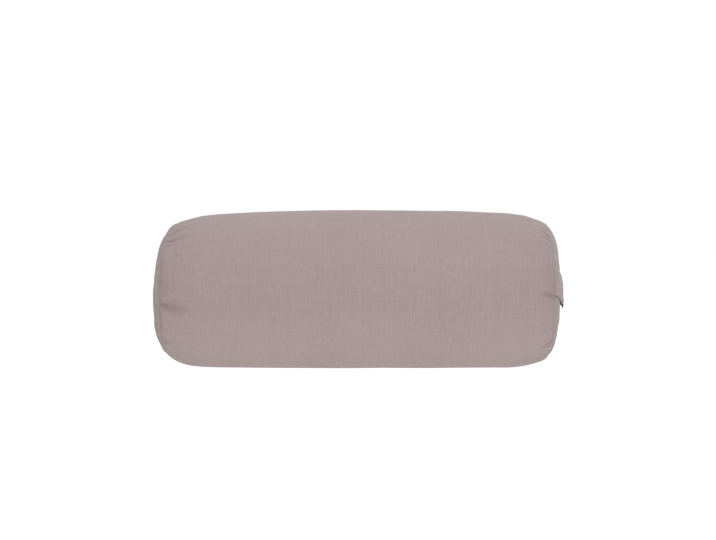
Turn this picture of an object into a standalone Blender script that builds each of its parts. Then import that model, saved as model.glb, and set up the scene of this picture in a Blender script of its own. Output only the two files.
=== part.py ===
"""A round yoga bolster: a zipped canvas cover with a carrying handle, over a sewn and filled inner cushion.

The bolster lies along X with its handle end at +X. The zip runs along the back, at +Y.
The origin is the middle of the flat patch that the bolster rests on.
"""

import math
from collections import namedtuple

import bmesh
import bpy
from mathutils import Matrix, Vector

MM = 0.001
GAP = 0.35 * MM  # between pieces that touch on the real bolster
DIAGONAL = math.sqrt(0.5)

# The form of the stuffed cover
AXIS_HEIGHT = 111.8 * MM
CROWN_RADIUS = 121.1 * MM
CROWN_BOW = 10.3 * MM  # how much the long swell falls away towards the seams
DRAW_IN = 17.5 * MM  # how much more the seams pull the tube in
DRAW_IN_POWER = 12
SIDE_SPREAD = 6.0 * MM  # the ends sag a little wider than they are high
SEAM_REACH = 287.5 * MM  # from mid-length to an end seam, at the front and back
PLAIN_TOP_LEAN = 11.5 * MM  # the plain end's seam leans in by this much at its top
HANDLE_TOP_LEAN = 7.5 * MM
TOP_LEAN_POWER = 3
BOTTOM_LEAN = 5.5 * MM
BOTTOM_LEAN_POWER = 5
HANDLE_END_FULLER = 4.0 * MM  # the handle end is stuffed fuller than the plain one
HANDLE_END_RAISED = 3.0 * MM  # and stands up by this much on top of that
FULLER_POWER = 4
PLAIN_SEAM_RAISED = 3.2 * MM  # the plain end's seam stands up by this much at its top
RAISED_BREADTH_POWER = 6
RAISED_LENGTH_POWER = 30
PLAIN_END_REACH = 300.9 * MM
HANDLE_END_REACH = 297.8 * MM  # flatter, where the handle lies over it
PLAIN_END_POWER = 2.9
HANDLE_END_POWER = 4.5

# Cloth
CANVAS = 1.0 * MM
LINING = 0.8 * MM
ALLOWANCE = 7.0 * MM  # turned in past each seam
THREAD = 0.6 * MM
OVERLOCK_BITE = 3.0 * MM  # how far overlocking reaches back from a free edge
EDGE_STRIP = 15.0 * MM  # first column of facets beside a panel's long edges

# Carrying handle
HANDLE_WIDTH = 42.0 * MM
HANDLE_THICKNESS = 1.6 * MM
HANDLE_SEAM_HEIGHT = 128.0 * MM
HANDLE_DROOP = 16.0 * MM
HANDLE_STANDOFF = 4.7 * MM  # finger gap behind the handle at its middle
STANDOFF_POWER = 3
HANDLE_SPAN = 0.985  # share of the end panel's width between the handle's sewn ends

# Labels, both bare
LABEL_SPAN = (-0.42, -0.18)  # of the tab along the handle, as shares of its half length
LABEL_HEIGHT = 10.0 * MM
LABEL_THICKNESS = 0.5 * MM
CARE_LABEL_WIDTH = 30.0 * MM
CARE_LABEL_HEIGHTS = (38.0 * MM, 83.0 * MM)
CARE_LABEL_DEPTH = 2.0 * MM  # behind the end panel's face
CARE_LABEL_THICKNESS = 0.4 * MM

# Zip along the back, in a frame of its own: X along it, Z outwards, Y down the cover
ZIP_ANGLE = math.radians(22.5)  # above the horizontal
ZIP_RADIUS = 117.5 * MM  # the zip holds the cover straight at this distance from the axis
ZIP_HALF_LENGTH = 203.0 * MM
SLOT_HALF_WIDTH = 4.0 * MM
TAPE_EDGE = 1.6 * MM
TAPE_HALF_WIDTH = 14.5 * MM
TAPE_THICKNESS = 0.6 * MM
TAPE_OVERRUN = 2.0 * MM  # the tapes run on past the slot's ends
ARC_HELD = (16.0 * MM, 47.0 * MM)  # round the cover, the zip's hold fades between these
LENGTH_HELD = (207.0 * MM, 245.0 * MM)  # the same along it
BINDING_STOPS = (207.5 * MM, 228.0 * MM, 252.0 * MM, 270.0 * MM)  # along the plain ends of the closing seam
BINDING_ARCS = (-5.0 * MM, 5.0 * MM)
LINER_SEAM_STOPS = (0.0, 206.0 * MM, 227.0 * MM)
COIL_HALF_LENGTH = 196.0 * MM
COIL_RADIUS = 0.95 * MM
COIL_OFFSET = 1.75 * MM  # each side of the zip's centre line
STOP_LENGTH = 3.0 * MM
STOP_BREADTH = (0.7 * MM, 3.0 * MM)  # of a top stop, from the zip's centre line
STOP_EDGE = 0.25 * MM
SLIDER_LENGTH = 10.0 * MM
SLIDER_WIDTH = 7.0 * MM
SLIDER_PLATE = 0.9 * MM
SLIDER_FLANGE = 0.5 * MM
SLIDER_EDGE = 0.2 * MM
SLIDER_CORNER = 0.7 * MM
SLIDER_NOSE = 0.75  # width of its front end, as a share of the full width
SLIDER_TAIL = 0.85
SLIDER_WIDEST = (-0.6, 0.55)  # full width between these shares of its half length
SLIDER_REST = 190.0 * MM
POST_WIDTH = 0.8 * MM
POST_SPAN = (2.0 * MM, 4.2 * MM)  # forward of the slider's middle
SEAT = 0.1 * MM  # how far one feature is sunk into the next
BAIL_LENGTH = 5.0 * MM
BAIL_WIDTH = 1.6 * MM
BAIL_BAR = 0.8 * MM
BAIL_EDGE = 0.15 * MM
BAIL_CORNERS = (0.35 * MM, 0.2 * MM)  # outer and inner
PIN_THICKNESS = 1.0 * MM
PULLER_LENGTH = 22.0 * MM
PULLER_WIDTH = 5.6 * MM
PULLER_GRIP = 6.0 * MM  # full-width end
PULLER_WAIST = 3.4 * MM  # width between the grip and the eye
PULLER_SHOULDER = 2.0 * MM  # length over which it widens to the grip
PULLER_NOSE = 0.7  # width of its front end, as a share of the full width
PULLER_EDGE = 0.2 * MM
PULLER_CORNERS = (0.5 * MM, 0.3 * MM)  # outer and the eye's
EYE_LENGTH = 3.6 * MM
EYE_WIDTH = 2.6 * MM

# How finely the cloth is faceted and its curves are solved
REFINEMENTS = 5
WELD = 0.001 * MM
COLUMNS = 32
HANDLE_STEPS = 9  # each side of its middle
HANDLE_ROWS = (-1.0, -0.33, 0.33, 1.0)
HALF_STATIONS = (0.0, 0.35, 0.7085, 0.7195, 0.794, 0.879, 0.937, 0.98, 1.0)
LINER_HALF_STATIONS = (0.0, 0.365, 0.756, 0.834, 0.925, 1.0)
END_RINGS = (0.0, 0.28, 0.52, 0.74, 0.90, 1.0)
INNER_END_RINGS = (0.0, 0.40, 0.72, 1.0)

# One cloth layer inside another: depth below the cover's face, setback of its end seams,
# rounding of its corners, depth behind the end panels and the extra depth behind the zip
Layer = namedtuple("Layer", "depth setback rounding end_depth zip_relief")
COVER = Layer(0.0, 0.0, 0.0, 0.0, 0.0)
LINER = Layer(1.7 * MM, 14.0 * MM, 10.0 * MM, 3.2 * MM, 2.8 * MM)
FILL = Layer(3.2 * MM, 25.0 * MM, 17.0 * MM, 4.8 * MM, 4.6 * MM)
ROUNDING_POWER = 16


# Shape of the cloth

def fade(value, start, end):
    """1 up to start, 0 from end on, smooth between."""
    share = min(max((value - start) / (end - start), 0.0), 1.0)
    return 1.0 - share * share * (3.0 - 2.0 * share)


def seam_reach(side, angle):
    """Distance of an end seam from mid-length, at an angle round the tube. side is -1 or 1, or any x."""
    rise = math.sin(angle)
    if rise < 0:
        return SEAM_REACH - BOTTOM_LEAN * abs(rise) ** BOTTOM_LEAN_POWER
    top_lean = HANDLE_TOP_LEAN if side > 0 else PLAIN_TOP_LEAN
    return SEAM_REACH - top_lean * rise**TOP_LEAN_POWER


def fullness(side, angle):
    """How much an end's seam stands out beyond an evenly drawn-in one."""
    rise = math.sin(angle)
    if side > 0:
        return HANDLE_END_FULLER + HANDLE_END_RAISED * rise
    return PLAIN_SEAM_RAISED * max(rise, 0.0) ** RAISED_BREADTH_POWER


def rim_radius(side, angle):
    return CROWN_RADIUS - CROWN_BOW - DRAW_IN + fullness(side, angle)


def arc_from_zip(angle):
    """Distance round the tube from the zip's centre line."""
    turn = (angle - ZIP_ANGLE + math.pi) % math.tau - math.pi
    return abs(turn) * ZIP_RADIUS


def wall_section(x, angle):
    """Radius and sideways spread of the cover's face, straightened along the zip."""
    share = abs(x) / seam_reach(x, angle)
    radius = CROWN_RADIUS - CROWN_BOW * share**2 - DRAW_IN * share**DRAW_IN_POWER
    radius += fullness(x, angle) * share ** (FULLER_POWER if x > 0 else RAISED_LENGTH_POWER)
    held = fade(arc_from_zip(angle), *ARC_HELD) * fade(abs(x), *LENGTH_HELD)
    spread = SIDE_SPREAD * (x / SEAM_REACH) ** 2
    return radius + held * (ZIP_RADIUS - radius), spread * (1.0 - held)


def tube_point(station, angle, layer, slant=0.0, inset=0.0):
    """A point of a layer's tube. station runs from -1 at the plain end's seam to 1 at the handle end's.

    slant moves a seam's point diagonally inwards, along its turned-in allowance.
    """
    x = station * (seam_reach(station, angle) - layer.setback)
    relief = layer.zip_relief * fade(arc_from_zip(angle), *ARC_HELD)
    depth = layer.depth + inset + relief + layer.rounding * abs(station) ** ROUNDING_POWER
    radius, spread = wall_section(x, angle)
    radius -= depth + slant
    y = (radius + spread) * math.cos(angle)
    z = max(AXIS_HEIGHT + radius * math.sin(angle), layer.depth + inset)
    return Vector((x - math.copysign(slant, station), y, z))


def end_point(side, ring, angle, layer, slant=0.0, clear=0.0):
    """A point of a layer's end panel, from its middle at ring 0 to its seam at ring 1.

    clear is its gap to the tube's turned-in allowance, along that allowance's normal.
    """
    rim = tube_point(side, angle, layer, slant=slant + clear * DIAGONAL)
    rim.x += side * 2 * clear * DIAGONAL
    reach = (HANDLE_END_REACH if side > 0 else PLAIN_END_REACH) - layer.end_depth
    power = HANDLE_END_POWER if side > 0 else PLAIN_END_POWER
    swell = (reach - abs(rim.x)) * (1.0 - ring**power)
    x = rim.x + side * swell
    return Vector((x, rim.y * ring, AXIS_HEIGHT + (rim.z - AXIS_HEIGHT) * ring))


def end_face(side, y, z, depth=0.0):
    """The cover's end panel at a height and breadth, as a distance from mid-length."""
    angle = 0.0
    for _ in range(REFINEMENTS):
        across = y / (rim_radius(side, angle) + SIDE_SPREAD)
        up = (z - AXIS_HEIGHT) / rim_radius(side, angle)
        angle = math.atan2(up, across)
    return abs(end_point(side, min(math.hypot(across, up), 1.0), angle, COVER).x) - depth


def mirrored(half):
    """-b, -a, 0, a, b from 0, a, b."""
    return [-value for value in reversed(half[1:])] + list(half)


def round_columns():
    """Angles round the tube, starting at the zip line and ending on it again."""
    return [ZIP_ANGLE + math.tau * k / COLUMNS for k in range(COLUMNS + 1)]


# Building and finishing objects

def clear_scene():
    for old in list(bpy.data.objects):
        bpy.data.objects.remove(old, do_unlink=True)


def new_collection(name, hidden=False):
    made = bpy.data.collections.new(name)
    made.hide_render = hidden
    bpy.context.scene.collection.children.link(made)
    return made


def surface_material(name, colour, roughness, metallic=0.0):
    made = bpy.data.materials.new(name)
    made.use_nodes = True
    shader = made.node_tree.nodes["Principled BSDF"]
    shader.inputs["Base Color"].default_value = (*colour, 1.0)
    shader.inputs["Roughness"].default_value = roughness
    shader.inputs["Metallic"].default_value = metallic
    return made


def grid_mesh(name, rows, columns, place):
    """A grid whose vertices place(row, column) puts; those that coincide are welded."""
    build = bmesh.new()
    bmesh.ops.create_grid(build, x_segments=len(columns) - 1, y_segments=len(rows) - 1, size=1.0)
    for vertex in build.verts:
        column = round((vertex.co.x + 1) / 2 * (len(columns) - 1))
        row = round((vertex.co.y + 1) / 2 * (len(rows) - 1))
        vertex.co = place(rows[row], columns[column])
    bmesh.ops.remove_doubles(build, verts=build.verts, dist=WELD)
    mesh = bpy.data.meshes.new(name)
    build.to_mesh(mesh)
    build.free()
    return mesh


def face_towards(mesh, outward):
    """Turns an open sheet's faces over if its first face looks against outward(centre)."""
    face = mesh.polygons[len(mesh.polygons) // 2]
    if face.normal.dot(outward(face.center)) < 0:
        mesh.flip_normals()


def from_axis(centre):
    return Vector((0.0, centre.y, centre.z - AXIS_HEIGHT))


def finish(mesh, name, collection, material, smooth=True):
    made = bpy.data.objects.new(name, mesh)
    collection.objects.link(made)
    mesh.materials.append(material)
    if smooth:
        mesh.shade_smooth()
        mesh.set_sharp_from_angle(angle=math.radians(40))
    return made


def thicken(made, thickness, offset=-1.0):
    """Gives a sheet its thickness: inwards at offset -1, outwards at 1."""
    solidify = made.modifiers.new("Cloth thickness", "SOLIDIFY")
    solidify.thickness = thickness
    solidify.offset = offset
    solidify.use_even_offset = True
    solidify.use_quality_normals = True
    return made


# The cover and the inner cushion's casing

def rolled_panel(name, half_stations, layer, thickness, half_gap, collection, material):
    """A flat panel rolled into a tube, with its ends turned in as allowances.

    Its long edges meet at the zip line; half_gap(x) is half the gap that they leave.
    """
    stations = mirrored(half_stations)
    rows = [(-1.0, ALLOWANCE)] + [(s, 0.0) for s in stations] + [(1.0, ALLOWANCE)]
    inner_columns = round_columns()[1:-1]
    beside = EDGE_STRIP / ZIP_RADIUS
    edges = [("start", 0.0), ("turn", ZIP_ANGLE + beside)]
    edges += [("turn", angle) for angle in inner_columns]
    edges += [("turn", ZIP_ANGLE + math.tau - beside), ("end", 0.0)]

    def place(row, column):
        station, tuck = row
        kind, angle = column
        if kind != "turn":
            edge = half_gap(abs(station) * (seam_reach(station, ZIP_ANGLE) - layer.setback)) / ZIP_RADIUS
            angle = ZIP_ANGLE + edge if kind == "start" else ZIP_ANGLE + math.tau - edge
        return tube_point(station, angle, layer, slant=tuck * DIAGONAL)

    mesh = grid_mesh(name, rows, edges, place)
    face_towards(mesh, from_axis)
    return thicken(finish(mesh, name, collection, material), thickness)


def end_panel(name, side, rings, layer, thickness, collection, material):
    """A round end panel with its turned-in allowance."""
    rows = [(ring, 0.0) for ring in rings] + [(1.0, ALLOWANCE)]

    def place(row, angle):
        ring, tuck = row
        return end_point(side, ring, angle, layer, slant=tuck * DIAGONAL, clear=GAP)

    mesh = grid_mesh(name, rows, round_columns(), place)
    face_towards(mesh, lambda centre: Vector((side, 0.0, 0.0)))
    return thicken(finish(mesh, name, collection, material), thickness)


def overlock(name, side, layer, thickness, collection, material):
    """The overlocking that binds both turned-in allowances along their free edges."""
    stack = thickness + GAP
    past = ALLOWANCE + GAP
    back = past - OVERLOCK_BITE
    rows = [(back, -stack), (past, -stack), (past, stack + GAP), (back, stack + GAP)]

    def place(row, angle):
        along, across = row
        seam = tube_point(side, angle, layer, slant=(along + across) * DIAGONAL)
        seam.x += side * 2 * across * DIAGONAL
        return seam

    mesh = grid_mesh(name, rows, round_columns(), place)
    face_towards(mesh, lambda centre: Vector((-side, 0.0, 0.0)) - from_axis(centre).normalized())
    return thicken(finish(mesh, name, collection, material), THREAD, offset=1.0)


def filling(name, collection, material):
    """The filling, one closed form from end to end."""
    rows = [("end", -1, ring) for ring in INNER_END_RINGS[:-1]]
    rows += [("tube", 0, station) for station in mirrored(LINER_HALF_STATIONS)]
    rows += [("end", 1, ring) for ring in reversed(INNER_END_RINGS[:-1])]

    def place(row, angle):
        kind, side, share = row
        if kind == "tube":
            return tube_point(share, angle, FILL)
        return end_point(side, share, angle, FILL)

    mesh = grid_mesh(name, rows, round_columns(), place)
    face_towards(mesh, from_axis)
    return finish(mesh, name, collection, material)


def zip_strip(name, ends, arcs, depth, layer, thickness, collection, material):
    """A strip of tape or binding behind the cloth along the zip line.

    ends are its stops along X, arcs its stops across.
    """

    def place(x, arc):
        angle = ZIP_ANGLE + arc / ZIP_RADIUS
        station = x / (seam_reach(x, angle) - layer.setback)
        return tube_point(station, angle, layer, inset=depth)

    mesh = grid_mesh(name, ends, arcs, place)
    face_towards(mesh, from_axis)
    return thicken(finish(mesh, name, collection, material, smooth=False), thickness)


# The handle end

def handle_face(along, across):
    """A point of the handle's inner face.

    along runs from -1 at the front seam to 1 at the back one, across from -1 at its lower edge to 1.
    """
    middle = HANDLE_SEAM_HEIGHT - HANDLE_DROOP * (1.0 - along * along)
    z = middle + across * HANDLE_WIDTH / 2
    angle = 0.0
    for _ in range(REFINEMENTS):
        angle = math.asin((z - AXIS_HEIGHT) / rim_radius(1, angle))
    half_breadth = (rim_radius(1, angle) + SIDE_SPREAD) * math.cos(angle)
    y = along * HANDLE_SPAN * half_breadth
    standoff = GAP + (HANDLE_STANDOFF - GAP) * (1.0 - along * along) ** STANDOFF_POWER
    return Vector((end_face(1, y, z) + standoff, y, z))


def handle(name, collection, material):
    steps = range(-HANDLE_STEPS, HANDLE_STEPS + 1)
    stations = [math.sin(math.pi / 2 * k / HANDLE_STEPS) for k in steps]
    mesh = grid_mesh(name, stations, HANDLE_ROWS, handle_face)
    face_towards(mesh, lambda centre: Vector((1.0, 0.0, 0.0)))
    return thicken(finish(mesh, name, collection, material), HANDLE_THICKNESS, offset=1.0)


def side_label(name, collection, material):
    """A bare woven tab folded over the handle's lower edge."""
    first, last = LABEL_SPAN
    stations = [first + (last - first) * k / 4 for k in range(5)]
    outside = HANDLE_THICKNESS + GAP
    fold = [(outside, LABEL_HEIGHT), (outside, -GAP), (-GAP, -GAP), (-GAP, LABEL_HEIGHT)]

    def place(along, step):
        beyond, up = step
        return handle_face(along, -1.0) + Vector((beyond, 0.0, up))

    mesh = grid_mesh(name, stations, fold, place)
    bottom = min(mesh.polygons, key=lambda face: face.center.z)
    if bottom.normal.z > 0:
        mesh.flip_normals()
    made = finish(mesh, name, collection, material, smooth=False)
    return thicken(made, LABEL_THICKNESS, offset=1.0)


def care_label(name, collection, material):
    """A bare satin label inside the cover, low on the plain end."""
    low, high = CARE_LABEL_HEIGHTS
    heights = [low + (high - low) * k / 4 for k in range(5)]
    breadths = [CARE_LABEL_WIDTH * (k / 3 - 0.5) for k in range(4)]

    def place(z, y):
        return Vector((-end_face(-1, y, z, depth=CARE_LABEL_DEPTH), y, z))

    mesh = grid_mesh(name, heights, breadths, place)
    face_towards(mesh, lambda centre: Vector((-1.0, 0.0, 0.0)))
    made = finish(mesh, name, collection, material, smooth=False)
    return thicken(made, CARE_LABEL_THICKNESS)


# The zip

def zip_frame():
    """An empty on the zip's centre line: X along the zip, Z straight out of the cover, Y down it."""
    made = bpy.data.objects.new("zip_frame", None)
    bpy.context.scene.collection.objects.link(made)
    made.location = (
        0.0,
        ZIP_RADIUS * math.cos(ZIP_ANGLE),
        AXIS_HEIGHT + ZIP_RADIUS * math.sin(ZIP_ANGLE),
    )
    made.rotation_euler.x = ZIP_ANGLE - math.pi / 2
    return made


def box_mesh(name, low, high):
    """A box between two opposite corners."""
    build = bmesh.new()
    bmesh.ops.create_cube(build, size=1.0)
    low, high = Vector(low), Vector(high)
    for vertex in build.verts:
        share = vertex.co + Vector((0.5, 0.5, 0.5))
        vertex.co = low + Vector(a * b for a, b in zip(share, high - low))
    mesh = bpy.data.meshes.new(name)
    build.to_mesh(mesh)
    build.free()
    return mesh


def rounded(corners, radius, steps=3):
    """A closed flat outline through the corners, each rounded off."""
    points = []
    for before, corner, after in zip(corners[-1:] + corners[:-1], corners, corners[1:] + corners[:1]):
        corner = Vector(corner)
        start = corner + (Vector(before) - corner).normalized() * radius
        end = corner + (Vector(after) - corner).normalized() * radius
        for k in range(steps + 1):
            share = k / steps
            points.append(start.lerp(corner, share).lerp(corner.lerp(end, share), share))
    return points


def mirror_outline(half):
    """An outline's upper half, given from front to back, closed by its reflection."""
    return half + [(x, -y) for x, y in reversed(half)]


def plate_mesh(name, outlines, low, high, edge):
    """A flat plate between two heights: the first outline, less any others, with its edges eased."""
    curve = bpy.data.curves.new(name, "CURVE")
    curve.dimensions = "2D"
    curve.fill_mode = "BOTH"
    curve.bevel_depth = edge
    curve.bevel_resolution = 1
    curve.offset = -edge
    curve.extrude = (high - low) / 2 - edge
    for outline in outlines:
        spline = curve.splines.new("POLY")
        spline.points.add(len(outline) - 1)
        for point, place in zip(spline.points, outline):
            point.co = (place[0], place[1], 0.0, 1.0)
        spline.use_cyclic_u = True
    flat = bpy.data.objects.new(name, curve)
    bpy.context.scene.collection.objects.link(flat)
    evaluated = flat.evaluated_get(bpy.context.evaluated_depsgraph_get())
    mesh = bpy.data.meshes.new_from_object(evaluated)
    bpy.data.objects.remove(flat, do_unlink=True)
    mesh.transform(Matrix.Translation((0.0, 0.0, (low + high) / 2)))
    weld = bmesh.new()
    weld.from_mesh(mesh)
    bmesh.ops.remove_doubles(weld, verts=weld.verts, dist=WELD)
    bmesh.ops.recalc_face_normals(weld, faces=weld.faces)
    weld.to_mesh(mesh)
    weld.free()
    return mesh


def join(made, name, mesh, cutters):
    """Adds a mesh, given in the object's own frame, to an object."""
    other = bpy.data.objects.new(name, mesh)
    cutters.objects.link(other)
    other.parent = made.parent
    other.location = made.location
    other.hide_render = True
    other.display_type = "WIRE"
    boolean = made.modifiers.new(name, "BOOLEAN")
    boolean.operation = "UNION"
    boolean.solver = "EXACT"
    boolean.object = other


def coil(name, side, frame, collection, material):
    build = bmesh.new()
    bmesh.ops.create_cone(
        build,
        cap_ends=True,
        segments=10,
        radius1=COIL_RADIUS,
        radius2=COIL_RADIUS,
        depth=2 * COIL_HALF_LENGTH,
    )
    mesh = bpy.data.meshes.new(name)
    build.to_mesh(mesh)
    build.free()
    made = finish(mesh, name, collection, material)
    made.parent = frame
    made.rotation_euler.y = math.pi / 2
    made.location = (0.0, side * COIL_OFFSET, coil_height())
    return made


def coil_height():
    """Height of the coils' axes, which lie just clear of the tape's face."""
    return COIL_RADIUS - CANVAS


def stop_block(name, x, near, far, frame, collection, material):
    """A metal stop clamped on the zip, from x on and between two breadths."""
    low = (0.0, near, -CANVAS)
    high = (STOP_LENGTH, far, 2 * COIL_RADIUS - CANVAS)
    made = finish(box_mesh(name, low, high), name, collection, material, smooth=False)
    made.parent = frame
    made.location.x = x
    edge = made.modifiers.new("Soft edges", "BEVEL")
    edge.width = STOP_EDGE
    edge.segments = 2
    return made


def slider_top():
    """Height of the slider's upper face above the cover's face."""
    return coil_height() + COIL_RADIUS + GAP + SLIDER_PLATE


def pin_height():
    """Height of the puller's pin above the cover's face."""
    return slider_top() + GAP + PIN_THICKNESS / 2


def slider(name, frame, collection, material, cutters):
    """Two plates joined by the post between the coils, with side flanges and a bail for the puller."""
    half, wide = SLIDER_LENGTH / 2, SLIDER_WIDTH / 2
    upper = slider_top()
    top = upper - SLIDER_PLATE
    lower = -(CANVAS + GAP + TAPE_THICKNESS) - GAP
    overlap = SLIDER_PLATE / 2
    back, front = (share * half for share in SLIDER_WIDEST)
    shape = [(half, wide * SLIDER_NOSE), (front, wide), (back, wide), (-half, wide * SLIDER_TAIL)]
    outline = rounded(mirror_outline(shape), SLIDER_CORNER)

    plate = plate_mesh(name, [outline], top, upper, SLIDER_EDGE)
    made = finish(plate, name, collection, material, smooth=False)
    made.parent = frame
    made.location.x = SLIDER_REST
    base = plate_mesh("slider_base", [outline], lower - SLIDER_PLATE, lower, SLIDER_EDGE)
    join(made, "slider_base", base, cutters)
    behind, ahead = POST_SPAN
    low = (behind, -POST_WIDTH / 2, lower - overlap)
    high = (ahead, POST_WIDTH / 2, top + overlap)
    join(made, "slider_post", box_mesh("slider_post", low, high), cutters)
    for side in (-1, 1):
        near, far = sorted((side * (wide - SEAT), side * (wide - SLIDER_FLANGE)))
        low = (back, near, -CANVAS + SEAT)
        high = (front, far, top + overlap)
        flange = f"slider_flange_{side}"
        join(made, flange, box_mesh(flange, low, high), cutters)
    join(made, "slider_bail", bail_mesh(upper), cutters)
    return made


def bail_mesh(upper):
    """The arch on top of the slider that the puller's pin passes through."""
    outer, inner = BAIL_CORNERS
    reach = BAIL_LENGTH / 2
    top = upper + 2 * GAP + PIN_THICKNESS + BAIL_BAR
    foot, sill = upper - SLIDER_PLATE / 2, upper - SLIDER_PLATE / 4
    arch = [(reach, foot), (reach, top), (-reach, top), (-reach, foot)]
    reach -= BAIL_BAR
    top -= BAIL_BAR
    window = [(reach, sill), (reach, top), (-reach, top), (-reach, sill)]
    outlines = [rounded(arch, outer), rounded(window, inner)]
    mesh = plate_mesh("slider_bail", outlines, -BAIL_WIDTH / 2, BAIL_WIDTH / 2, BAIL_EDGE)
    mesh.transform(Matrix.Rotation(math.pi / 2, 4, "X"))
    return mesh


def puller(name, frame, collection, material):
    """A flat pull tab lying back along the zip, its pin through the slider's bail."""
    half, wide, waist = PIN_THICKNESS / 2, PULLER_WIDTH / 2, PULLER_WAIST / 2
    eye_end = half + EYE_LENGTH
    grip = PULLER_LENGTH - PULLER_GRIP
    shape = [(half, wide * PULLER_NOSE), (-wide / 2, wide), (-eye_end, wide)]
    shape += [(-eye_end - PULLER_SHOULDER, waist), (-grip + PULLER_SHOULDER, waist)]
    shape += [(-grip, wide), (-PULLER_LENGTH, wide)]
    eye = [(-half, EYE_WIDTH / 2), (-eye_end, EYE_WIDTH / 2)]
    outer, inner = PULLER_CORNERS
    outlines = [rounded(mirror_outline(shape), outer), rounded(mirror_outline(eye), inner)]
    mesh = plate_mesh(name, outlines, -half, half, PULLER_EDGE)
    made = finish(mesh, name, collection, material, smooth=False)
    made.parent = frame
    made.location = (SLIDER_REST, 0.0, pin_height())
    return made


# The whole bolster

def slot_half_gap(x):
    """Half the gap between the cover panel's long edges: open at the zip, closed beyond it."""
    return SLOT_HALF_WIDTH if x <= ZIP_HALF_LENGTH + TAPE_OVERRUN / 2 else GAP / 2


def build_cover(parts):
    canvas = surface_material("dusty_rose_canvas", (0.402, 0.314, 0.304), 0.92)
    thread = surface_material("overlock_thread", (0.36, 0.28, 0.275), 0.85)
    dark = surface_material("dark_woven_tab", (0.028, 0.025, 0.026), 0.6)
    satin = surface_material("white_satin", (0.80, 0.79, 0.77), 0.5)
    rolled_panel("cover_body_panel", HALF_STATIONS, COVER, CANVAS, slot_half_gap, parts, canvas)
    depth = CANVAS + 2 * GAP
    for side, end in ((-1, "left"), (1, "right")):
        end_panel(f"cover_end_panel_{end}", side, END_RINGS, COVER, CANVAS, parts, canvas)
        overlock(f"cover_overlock_{end}", side, COVER, CANVAS, parts, thread)
        stops = sorted(side * x for x in BINDING_STOPS)
        binding = f"closing_seam_binding_{end}"
        zip_strip(binding, stops, BINDING_ARCS, depth, COVER, THREAD, parts, thread)
    handle("handle_strap", parts, canvas)
    side_label("side_label", parts, dark)
    care_label("care_label", parts, satin)


def build_inner_cushion(parts):
    cotton = surface_material("natural_cotton", (0.72, 0.66, 0.56), 0.9)
    thread = surface_material("natural_thread", (0.76, 0.72, 0.64), 0.85)
    fibre = surface_material("cotton_fibre_filling", (0.83, 0.80, 0.73), 1.0)
    half_gap = GAP / 2
    rolled_panel("liner_body", LINER_HALF_STATIONS, LINER, LINING, lambda x: half_gap, parts, cotton)
    for side, end in ((-1, "left"), (1, "right")):
        end_panel(f"liner_end_{end}", side, INNER_END_RINGS, LINER, LINING, parts, cotton)
        overlock(f"liner_overlock_{end}", side, LINER, LINING, parts, thread)
    stops = mirrored(LINER_SEAM_STOPS)
    depth = LINING + 2 * GAP
    zip_strip("liner_closing_seam", stops, BINDING_ARCS, depth, LINER, THREAD, parts, thread)
    filling("filling", parts, fibre)


def build_zip(parts, cutters):
    tape = surface_material("zip_tape", (0.36, 0.28, 0.275), 0.85)
    nylon = surface_material("zip_coil_nylon", (0.33, 0.255, 0.25), 0.45)
    metal = surface_material("zip_metal", (0.45, 0.43, 0.42), 0.35, metallic=1.0)
    frame = zip_frame()
    reach = ZIP_HALF_LENGTH + TAPE_OVERRUN
    near, far = STOP_BREADTH
    for side, level in ((-1, "lower"), (1, "upper")):
        arcs = sorted((side * TAPE_EDGE, side * SLOT_HALF_WIDTH, side * TAPE_HALF_WIDTH))
        strip = f"zip_tape_{level}"
        zip_strip(strip, (-reach, reach), arcs, CANVAS + GAP, COVER, TAPE_THICKNESS, parts, tape)
        coil(f"zip_coil_{level}", -side, frame, parts, nylon)
        breadth = sorted((-side * near, -side * far))
        stop_block(f"zip_top_stop_{level}", COIL_HALF_LENGTH + GAP, *breadth, frame, parts, metal)
    bottom = -COIL_HALF_LENGTH - GAP - STOP_LENGTH
    stop_block("zip_bottom_stop", bottom, -far, far, frame, parts, metal)
    slider("zip_slider", frame, parts, metal, cutters)
    puller("zip_puller", frame, parts, metal)


def main():
    clear_scene()
    parts = new_collection("yoga_bolster")
    cutters = new_collection("cutters", hidden=True)
    build_cover(parts)
    build_inner_cushion(parts)
    build_zip(parts, cutters)


main()
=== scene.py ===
"""The looks of a round yoga bolster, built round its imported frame.

The bolster lies along X with its strap end at +X and its zip along the back, at +Y. All sizes are in metres.
Each group of pieces has an operator of its own, listed in the Bolster panel of the 3D view's sidebar.
"""

import math
from collections import namedtuple

import bmesh
import bpy
import numpy as np
from bpy.props import FloatProperty, FloatVectorProperty, IntProperty, PointerProperty
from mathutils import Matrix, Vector
from mathutils.bvhtree import BVHTree


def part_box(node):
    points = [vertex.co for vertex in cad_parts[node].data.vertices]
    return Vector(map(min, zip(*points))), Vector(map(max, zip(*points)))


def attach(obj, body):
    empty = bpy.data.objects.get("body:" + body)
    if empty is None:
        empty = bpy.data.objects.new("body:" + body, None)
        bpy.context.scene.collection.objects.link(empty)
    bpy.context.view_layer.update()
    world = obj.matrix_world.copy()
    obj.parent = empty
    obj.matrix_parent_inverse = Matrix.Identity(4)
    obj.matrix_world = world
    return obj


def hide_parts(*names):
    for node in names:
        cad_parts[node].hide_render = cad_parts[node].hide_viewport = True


bl_info = {
    "name": "Round yoga bolster",
    "version": (1, 0, 0),
    "blender": (4, 5, 0),
    "location": "3D View > Sidebar > Bolster",
    "description": "Builds the cloth, stitching, zip and stage of a round yoga bolster",
    "category": "Object",
}

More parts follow.
